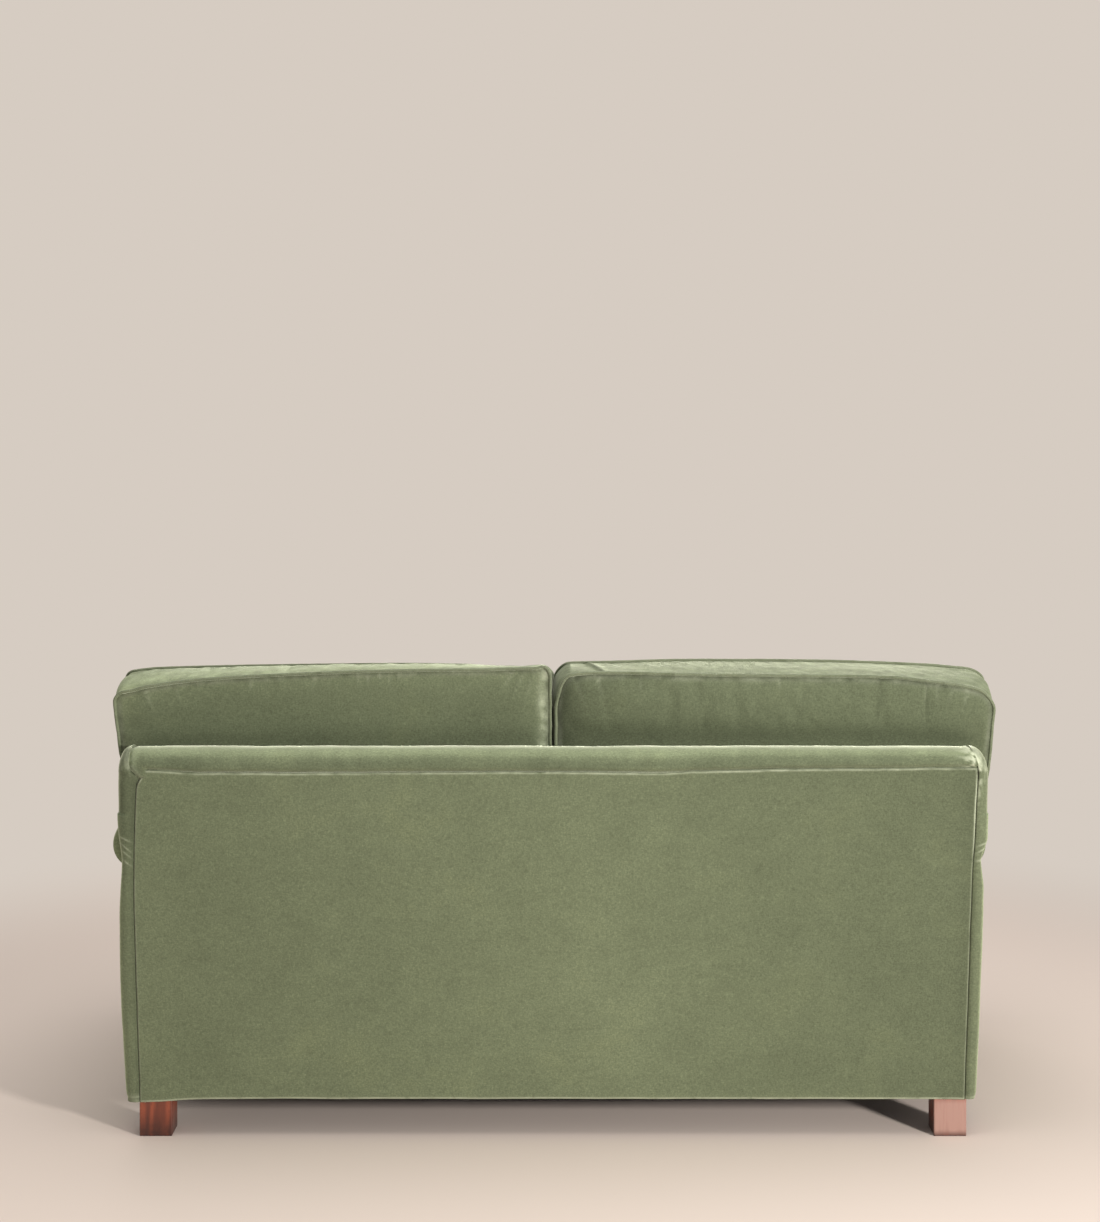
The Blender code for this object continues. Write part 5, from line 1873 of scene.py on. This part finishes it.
@dataclass
class BackCushion(LooseCushion):
    """A back cushion that leans on the back, with an ear that lies over the arm."""

    kind: str = "back"
    welt_tone: float = -0.28
    pale_boxing: bool = True
    inner: float = 0.0036
    waist: float = 0.6937
    reach: float = 0.812
    bottom: float = 0.4575
    ear: float = 0.6036
    head: float = 0.853
    roll_top: float = 0.7225
    rear: float = 0.1053
    thickness: float = 0.165
    crown: float = 0.026
    rear_crown: float = 0.0105
    rear_reach: float = 0.075
    inner_push: float = 0.004
    corner_push: Dict[Side, float] = sided(0.009, 0.0145)
    # Painted highlight: how much lighter the top of each cushion's boxing is, less on the right, which the
    # light already brightens.
    top_highlight_tone: Dict[Side, float] = sided(1.06, 0.45)
    rear_seam: Dict[Side, Curve] = sided(
        Curve(((0.004, 0.859), (0.015, 0.8612), (0.034, 0.857), (0.061, 0.8568), (0.135, 0.8546),
               (0.2825, 0.853), (0.504, 0.845), (0.652, 0.836), (0.744, 0.824), (0.812, 0.811))),
        Curve(((0.004, 0.81), (0.017, 0.83), (0.03, 0.844), (0.087, 0.8491), (0.271, 0.8454), (0.456, 0.8435),
               (0.604, 0.8417), (0.7146, 0.8306), (0.779, 0.819), (0.812, 0.805))))
    front_seam: Dict[Side, Curve] = sided(
        Curve(((0.004, 0.838), (0.03, 0.84), (0.06, 0.8345), (0.1, 0.8375), (0.17, 0.844), (0.28, 0.8455),
               (0.5, 0.8435), (0.66, 0.8405), (0.76, 0.8375), (0.812, 0.83))),
        Curve(((0.004, 0.837), (0.035, 0.848), (0.1, 0.8495), (0.263, 0.8535), (0.474, 0.8525),
               (0.705, 0.845), (0.78, 0.8375), (0.812, 0.827))))
    outer_edge: Dict[Side, Curve] = sided(
        Curve(((0.6, 0.784), (0.65, 0.79), (0.69, 0.798), (0.7, 0.8), (0.738, 0.8035), (0.785, 0.8085),
               (0.84, 0.8095))),
        Curve(((0.6, 0.796), (0.63, 0.8), (0.69, 0.808), (0.75, 0.812), (0.781, 0.8145), (0.84, 0.815))))
    puckers: Dict[Side, Tuple[Tuple[float, ...], ...]] = sided(
        ((0.034, 0.3, 0.003, 0.04), (0.052, 0.45, 0.0028, 0.032), (0.072, 0.6, 0.0026, 0.022),
         (0.284, 0.1, 0.0022, 0.01), (0.3, 0.1, 0.0024, 0.016), (0.322, -0.1, 0.0022, 0.01),
         (0.342, 0.05, 0.0022, 0.011), (0.362, -0.1, 0.0022, 0.014), (0.44, 0.15, 0.0026, 0.018),
         (0.56, -0.1, 0.0024, 0.016), (0.7, -0.3, 0.003, 0.026), (0.758, -0.45, 0.0032, 0.034)),
        ((0.04, 0.35, 0.003, 0.04), (0.081, 0.25, 0.0034, 0.034), (0.16, 0.1, 0.0024, 0.016),
         (0.42, -0.1, 0.0024, 0.015), (0.6, 0.1, 0.0024, 0.018), (0.69, -0.1, 0.0024, 0.026),
         (0.712, -0.12, 0.0022, 0.03), (0.738, -0.2, 0.0024, 0.028), (0.768, -0.3, 0.0026, 0.034)))

    def outline(self) -> List[Pair]:
        """A rectangle with an ear over the arm.

        Returns:
            The corners, anticlockwise.
        """
        low, ear = self.bottom + self.inset, self.ear + self.inset
        inner, waist = self.inner + self.inset, self.waist - self.inset
        return [(inner, low), (waist, low), (waist, ear), (self.reach, ear), (self.reach, self.head),
                (inner, self.head)]

    def lines(self) -> Tuple[List[float], List[float]]:
        """Even lines with one on each corner of the outline.

        Returns:
            The lines across and the lines up.
        """
        (inner, low), (waist, _), (_, ear) = self.outline()[:3]
        fine, cell = self.seam_fine, self.cell
        across = spaced(inner, waist, cell, fine, fine[:2]) + spaced(waist, self.reach, cell, (), fine)[1:]
        return across, spaced(low, ear, cell, fine, ()) + spaced(ear, self.head, cell, (), fine)[1:]

    def radius(self, corner: Pair) -> float:
        """Tighter at the left cushion's top corners than at the right one's."""
        top = self.side.pick(0.016 if corner[0] < 0.1 else 0.015, 0.024)
        return top if corner[1] > 0.8 else 0.03

    def _clear(self, z: float) -> float:
        """0 where the cushion lies against the back, 1 where it stands free above the top roll."""
        return smooth((z - self.roll_top) / 0.045)

    def put(self, spot: Spot) -> Point:
        """Leans the cushion back and shapes its head.

        Args:
            spot: The place on the cushion.

        Returns:
            The place in the sofa.
        """
        u, v, through = spot.u, spot.v, spot.through
        head, ear = smooth((v - 0.66) / (self.head - 0.66)), unit((v - self.ear) / 0.03)
        top = self.rear_seam[self.side](u) * (1 - through) + self.front_seam[self.side](u) * through
        z = v + (top - self.head) * head
        reach = self.outer_edge[self.side](z) - self.reach
        x = u + reach * (max(u - self.inner, 0) / (self.reach - self.inner)) ** 7 * ear
        depth = self.rear + self.inset + (self.thickness - self.inset) * through
        if through <= 0.0:
            rear = 1 - (1 - min(spot.edge / self.rear_reach, 1.0)) ** 2.0
            depth -= self.snug(spot) + self.rear_crown * rear * self._clear(v)
        elif through >= 1.0:
            depth += self.crown * self.crowned(spot)
        else:
            bulge = sin(pi * through)
            swell = 0.0025 * max(spot.out[1], 0) + 0.0015 * max(spot.out[0], 0) * ear
            swell = bulge * swell * self._clear(v) + self.inset * bulge ** 0.5
            x += spot.out[0] * swell + self._meeting(through) * max(-spot.out[0], 0.0) ** 3
            z += spot.out[1] * swell
        for corner, push in ((self.reach, self.corner_push[self.side]), (self.inner, -self.inner_push)):
            near = bell(hypot(u - corner, v - self.head), 0.03) * through ** 0.7
            x += push * near
            z += 0.2 * abs(push) * near
        return self.side.value * x, RAKE.y(depth, z), z

    def _meeting(self, through: float) -> float:
        """How far along X the inner side moves to lie against the other cushion's, along one winding line."""
        bulge, wind = sin(pi * through), self.side.value * 0.0022 * sin(2 * pi * through)
        return wind - 0.0062 * bulge ** 0.25 + self.inset * bulge ** 0.5

    def free(self, spot: Spot) -> float:
        """Free above the roll and in front, held where it rests.

        Args:
            spot: The place on the cushion.

        Returns:
            The share.
        """
        clear = self._clear(spot.v - 0.004)
        if spot.edge > 0 or spot.through in (0.0, 1.0):
            return 1.0 if spot.through >= 1.0 else 0.8 * clear
        top = max(spot.out[1], 0.0) * clear
        outer = max(spot.out[0], 0.0) * unit((spot.v - 0.66) / 0.05)
        return min(0.3 * (top + outer), 1.0) if spot.u > 0.012 else 0.15 * top

    def finish(self, spot: Spot, place: Point) -> Tuple[float, float, float]:
        """Gathers under the piping, creases at the corners, a pale boxing top that is a painted highlight,
        and a darker rear panel with painted shade and light.

        Args:
            spot: The place on the cushion.
            place: Where it lies in the sofa.

        Returns:
            How far the cover stands out, its tone and its crush.
        """
        x, z, from_inner, side = abs(place[0]), place[2], spot.u - self.inner, self.side
        panel, outwards = spot.edge > 1e-5, min(spot.through, 1 - spot.through)
        on_top = self.head - spot.v < self.reach - spot.u if panel else abs(spot.out[1]) > 0.5
        corner = bell(self.reach - spot.u, 0.09) + bell(from_inner, 0.08)
        rise = (0.0008 + 0.0012 * min(corner, 1.0)) * self.gather(
            spot, place, place[0] if on_top else z, 0.014 if panel else 0.022)
        wear_and_light = wear(place, 0.018, 85.0)
        away = spot.edge if panel else outwards * self.thickness
        crush = 0.3 * bell(away - 0.005, 0.005) * wear_and_light
        if spot.through < 0.02 and panel:
            pucker = self._pucker(x, z)
            rise -= 0.0022 * pucker
            crush += 0.25 * bell(abs(pucker - 0.4), 0.2) * wear_and_light * bell(spot.edge, 0.04)
            # Rear panel: darker overall, with painted shade near the top roll and in a strip just inside the
            # seam under the rear piping, and a painted highlight near the head on the left.
            tone = -0.22 - 0.16 * bell(z - self.roll_top, 0.035)
            tone += side.pick(0.3, 0.06) * bell(self.head - spot.v, 0.034)
            tone -= 0.75 * bell(spot.edge - 0.003, 0.0045)
            # Painted light on the left cushion's inner edge, which faces the light, with a pale crush and
            # highlight; painted shade on the right cushion, most at its inner edge, which faces away.
            tone += side.pick(0.45, -0.6) * bell(from_inner, side.pick(0.03, 0.034))
            tone -= side.pick(0.0, 0.1 + 0.22 * bell(from_inner, 0.13))
            crush += side.pick(0.75, 0.0) * bell(from_inner - 0.014, 0.009) * wear_and_light
        elif 0.02 <= spot.through <= 0.98:
            top = max(spot.out[1], 0.0)
            crush *= 1.0 if spot.through < 0.5 else 0.3
            mottle = 0.45 * ripple((place[0] * 1.5, place[1], 0), 0.03, 87.0)
            # Painted highlight on the top of the boxing, with random mottle.
            tone = (self.top_highlight_tone[side] + mottle + 0.3 * ripple(place, 0.012, 86.0)) * top
            if side is Side.RIGHT:
                # On the right, a groove with painted shade in it and a painted highlight on the ridge beside
                # it.
                off = x - 0.098 + 0.03 * spot.through
                rise -= 0.0026 * bell(off, 0.0045) * top
                tone += (0.35 * bell(off - 0.01, 0.006) - 0.55 * bell(off, 0.005)) * top
            # Painted shade along the seams on top.
            tone -= 0.9 * bell(outwards, 0.03) * top
            rise += 0.0007 * ripple((place[0], place[1] * 0.5, z), 0.045, 88.0) * top
            rise += 0.0007 * ripple((place[0], place[1] * 0.7, z), 0.016, 84.0) * top
        else:
            tone = 0.05 * ripple(place, 0.2, 89.0)
        firm = 1.0 if spot.through > 0.5 else 0.35 * self._clear(spot.v)
        rise += 0.001 * ripple(place, 0.08, 90.0) * min(spot.edge / 0.03, 1.0) * firm
        return rise, tone, min(crush, 1.0)

    def _pucker(self, x: float, z: float) -> float:
        """How deep, as a share, the puckers are that run down from the rear seam."""
        below = self.rear_seam[self.side](x) - z
        return sum(bell(x - at - slope * below, width) * exp(-max(below, 0.0) / deep)
                   for at, slope, width, deep in self.puckers[self.side])


@dataclass
class SeatCushion(LooseCushion):
    """A seat cushion: flat below, crowned above, its front a little proud of the arms."""

    kind: str = "seat"
    cell: float = 0.012
    rows: int = 12
    inner: float = 0.002
    outer: float = 0.6937
    front: float = -0.452
    rear: float = 0.305
    bottom: float = 0.2852
    edge_top: float = 0.4352
    crown: float = 0.0215
    draw_in: float = 0.004

    def outline(self) -> List[Pair]:
        """A rectangle."""
        inner, outer, rear = self.inner + self.inset, self.outer - self.inset, self.rear - self.inset
        return [(inner, self.front), (outer, self.front), (outer, rear), (inner, rear)]

    def lines(self) -> Tuple[List[float], List[float]]:
        """Even lines, finer near the seams."""
        low, _, high, _ = self.outline()
        return tuple(spaced(*ends, self.cell, self.seam_fine, self.seam_fine) for ends in zip(low, high))

    def radius(self, corner: Pair) -> float:
        """Rounder in front than at the back."""
        return 0.036 if corner[1] < 0 else 0.028

    def put(self, spot: Spot) -> Point:
        """Draws the sides in, and lifts the top panel to its crown.

        Args:
            spot: The place on the cushion.

        Returns:
            The place in the sofa.
        """
        across = (spot.u - (self.inner + self.outer) / 2) / ((self.outer - self.inner) / 2)
        along = (spot.v - (self.front + self.rear) / 2) / ((self.rear - self.front) / 2)
        u, v = spot.u - self.draw_in * across * (1 - along ** 2), spot.v
        low = self.bottom + self.inset
        z = low + (self.edge_top - low) * spot.through
        if spot.through <= 0.0:
            z -= self.snug(spot)
        elif spot.through >= 1.0:
            z += self.crown * self.crowned(spot)
        else:
            bulge = sin(pi * spot.through)
            swell = self.inset * bulge ** 0.5 + 0.004 * bulge * max(-spot.out[1], 0.0)
            u, v = u + spot.out[0] * swell, v + spot.out[1] * swell
        return self.side.value * u, v, z

    def free(self, spot: Spot) -> float:
        """Free on top, as far as the back cushion, and in front."""
        if spot.through >= 1.0:
            return 0.9 * unit((0.165 - spot.v) / 0.06)
        return 0.0 if spot.through <= 0.0 else 0.8 * max(-spot.out[1], 0.0) ** 2

    def finish(self, spot: Spot, place: Point) -> Tuple[float, float, float]:
        """Gathers at the seams and a little sitting wear on top.

        Args:
            spot: The place on the cushion.
            place: Where it lies in the sofa.

        Returns:
            How far the cover stands out, its tone and its crush.
        """
        panel, outwards = spot.edge > 1e-5, min(spot.through, 1 - spot.through)
        from_side = min(spot.u - self.inner, self.outer - spot.u)
        ahead = spot.v - self.front < from_side if panel else abs(spot.out[1]) > 0.5
        above = 1.0 if spot.through > 0.02 else 0.0
        rise = 0.0011 * self.gather(spot, place, place[0] if ahead else place[1], 0.014) * above
        rise += 0.0012 * ripple(place, 0.09, 91.0) * min(spot.edge / 0.03, 1.0) * above * (spot.v < 0.16)
        away = spot.edge if panel else outwards * 0.15
        crush = 0.28 * bell(away - 0.005, 0.005) * wear(place, 0.02, 92.0)
        sat = bell(hypot(spot.u - 0.35, spot.v + 0.1), 0.24)
        return rise, 0.12 * ripple(place, 0.16, 93.0) * sat + (0.1 if panel else 0.0), min(crush, 1.0)


# The room for the picture


@dataclass(frozen=True)
class Lamp:
    """A square soft light: its power in watts, its side, where it hangs and what it faces."""

    name: str
    power: float
    size: float
    place: Point
    aim: Point

    def build(self) -> None:
        """Hangs the light."""
        data = bpy.data.lights.new(self.name, "AREA")
        data.energy = self.power
        data.shape = "SQUARE"
        data.size = self.size
        data.color = (1.0, 0.97, 0.93)
        light = linked(self.name, data)
        light.location = self.place
        light.rotation_euler = (Vector(self.aim) - Vector(self.place)).to_track_quat("-Z", "Y").to_euler()


@dataclass
class Studio:
    """A pale floor that fades into a pale background, soft light and the camera."""

    camera_place: Point = (0.0055, 4.486, 1.355)
    lens: float = 72.98
    sensor: float = 36.0
    shift: float = -0.1918
    background: Colour = (0.672, 0.604, 0.539)
    floor: Colour = (0.76, 0.655, 0.59)
    floor_radius: float = 9.0
    world_strength: float = 0.42
    lamps: Tuple[Lamp, ...] = (
        Lamp("key", 225.0, 0.45, (-2.9, 3.7, 1.3), (0.0, 0.2, 0.4)),
        Lamp("overhead", 45.0, 2.6, (0.2, 0.5, 3.3), (0.2, 0.49, 0.0)),
        Lamp("front_fill", 45.0, 2.2, (1.2, -4.0, 1.5), (0.0, 0.0, 0.35)))

    def build(self) -> None:
        """Makes the floor, the background, the light and the camera."""
        self._floor()
        self._world()
        for lamp in self.lamps:
            lamp.build()
        self._camera()

    def _floor(self) -> None:
        """A round floor whose rim takes on the background's colour."""
        rings, count = 24, 96
        angles = [2 * pi * step / count for step in range(count)]
        points: List[Point] = [(0.0, 0.0, 0.0)]
        faces = [(0, 1 + step, 1 + (step + 1) % count) for step in range(count)]
        for ring in range(rings):
            reach, low = self.floor_radius * (ring + 1) / rings, 1 + ring * count
            points += [(reach * cos(angle), reach * sin(angle), 0.0) for angle in angles]
            if ring < rings - 1:
                faces += [(low + step, low + count + step, low + count + (step + 1) % count,
                           low + (step + 1) % count) for step in range(count)]
        data = bpy.data.meshes.new("floor")
        data.from_pydata(points, [], faces)
        material = bpy.data.materials.new("pale_floor")
        material.use_nodes = True
        tree = Tree(material.node_tree)
        diffuse = tree.node("ShaderNodeBsdfDiffuse", {"Color": (*self.floor, 1.0)})
        glow = tree.node("ShaderNodeEmission", {"Color": (*self.background, 1.0)})
        away = tree.node("ShaderNodeVectorMath", {0: tree.place()}, operation="LENGTH")["Value"]
        painted_lit_face = tree.node("ShaderNodeMixShader", {0: away.between(1.5, 2.6), 1: diffuse, 2: glow})
        tree.node("ShaderNodeOutputMaterial", {"Surface": painted_lit_face})
        data.materials.append(material)
        linked("floor", data)

    def _world(self) -> None:
        """Even light, and a plain background wherever the world itself is seen."""
        world = bpy.data.worlds.new("studio")
        world.use_nodes = True
        bpy.context.scene.world = world
        tree = Tree(world.node_tree)
        path = tree.node("ShaderNodeLightPath")
        seen = path["Is Camera Ray"] + path["Is Glossy Ray"] + path["Is Transmission Ray"]
        light, plain_back = (
            tree.node("ShaderNodeBackground", {"Color": (*colour, 1.0), "Strength": strength})
            for colour, strength in (((1.0, 0.985, 0.96), self.world_strength), (self.background, 1.0)))
        mixed = tree.node("ShaderNodeMixShader", {0: seen, 1: light, 2: plain_back})
        tree.node("ShaderNodeOutputWorld", {"Surface": mixed})

    def _camera(self) -> None:
        """A level camera behind the sofa, its picture shifted down."""
        data = bpy.data.cameras.new("camera")
        data.sensor_fit = "HORIZONTAL"
        data.sensor_width = self.sensor
        data.lens = self.lens
        data.shift_y = self.shift
        camera = linked("camera", data)
        camera.location = self.camera_place
        camera.rotation_euler = (pi / 2, 0.0, pi)
        bpy.context.scene.camera = camera
        bpy.context.scene.view_settings.view_transform = "Standard"


def dress_frame(kit: Upholstery) -> None:
    """Gives the solids that stay in view their finishes.

    Args:
        kit: The shared finishes.
    """
    along_x, along_y, along_z = (Timber(name="beech_" + grain.name.lower(), grain=grain).make()
                                 for grain in (Grain.ALONG_X, Grain.ALONG_Y, Grain.ALONG_Z))
    by_word = {"foot_bolt": kit.steel, "foot_": FootWood().make(), "seat_spring": kit.steel,
               "webbing": kit.webbing, "post": along_z, "rail_left": along_y, "rail_right": along_y,
               "seat_stretcher": along_y, "rail": along_x, "corner_block": along_x}
    for item in bpy.context.scene.objects:
        finish = next((made for word, made in by_word.items() if word in item.name), None)
        if item.type == "MESH" and finish is not None and body_of(item):
            item.data.materials.clear()
            item.data.materials.append(finish)
            LOG.info("%s: finished as %s", item.name, finish.name)


def main() -> None:
    """Dresses the whole sofa and makes the studio."""
    logging.basicConfig(level=logging.INFO, format="%(message)s")
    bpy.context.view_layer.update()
    kit = Upholstery()
    dress_frame(kit)
    panel = OutsideBack(kit)
    strips = {side: SideStrip(kit, side, panel) for side in Side}
    for part in (panel, *strips.values(), BackRoll(kit, panel, strips), InsideBack(kit), SeatBase(kit)):
        part.build()
    for side in Side:
        for part in (Arm(kit, side), BackCushion(kit, side), SeatCushion(kit, side)):
            part.build()
    Studio().build()


if __name__ == "__main__":
    main()
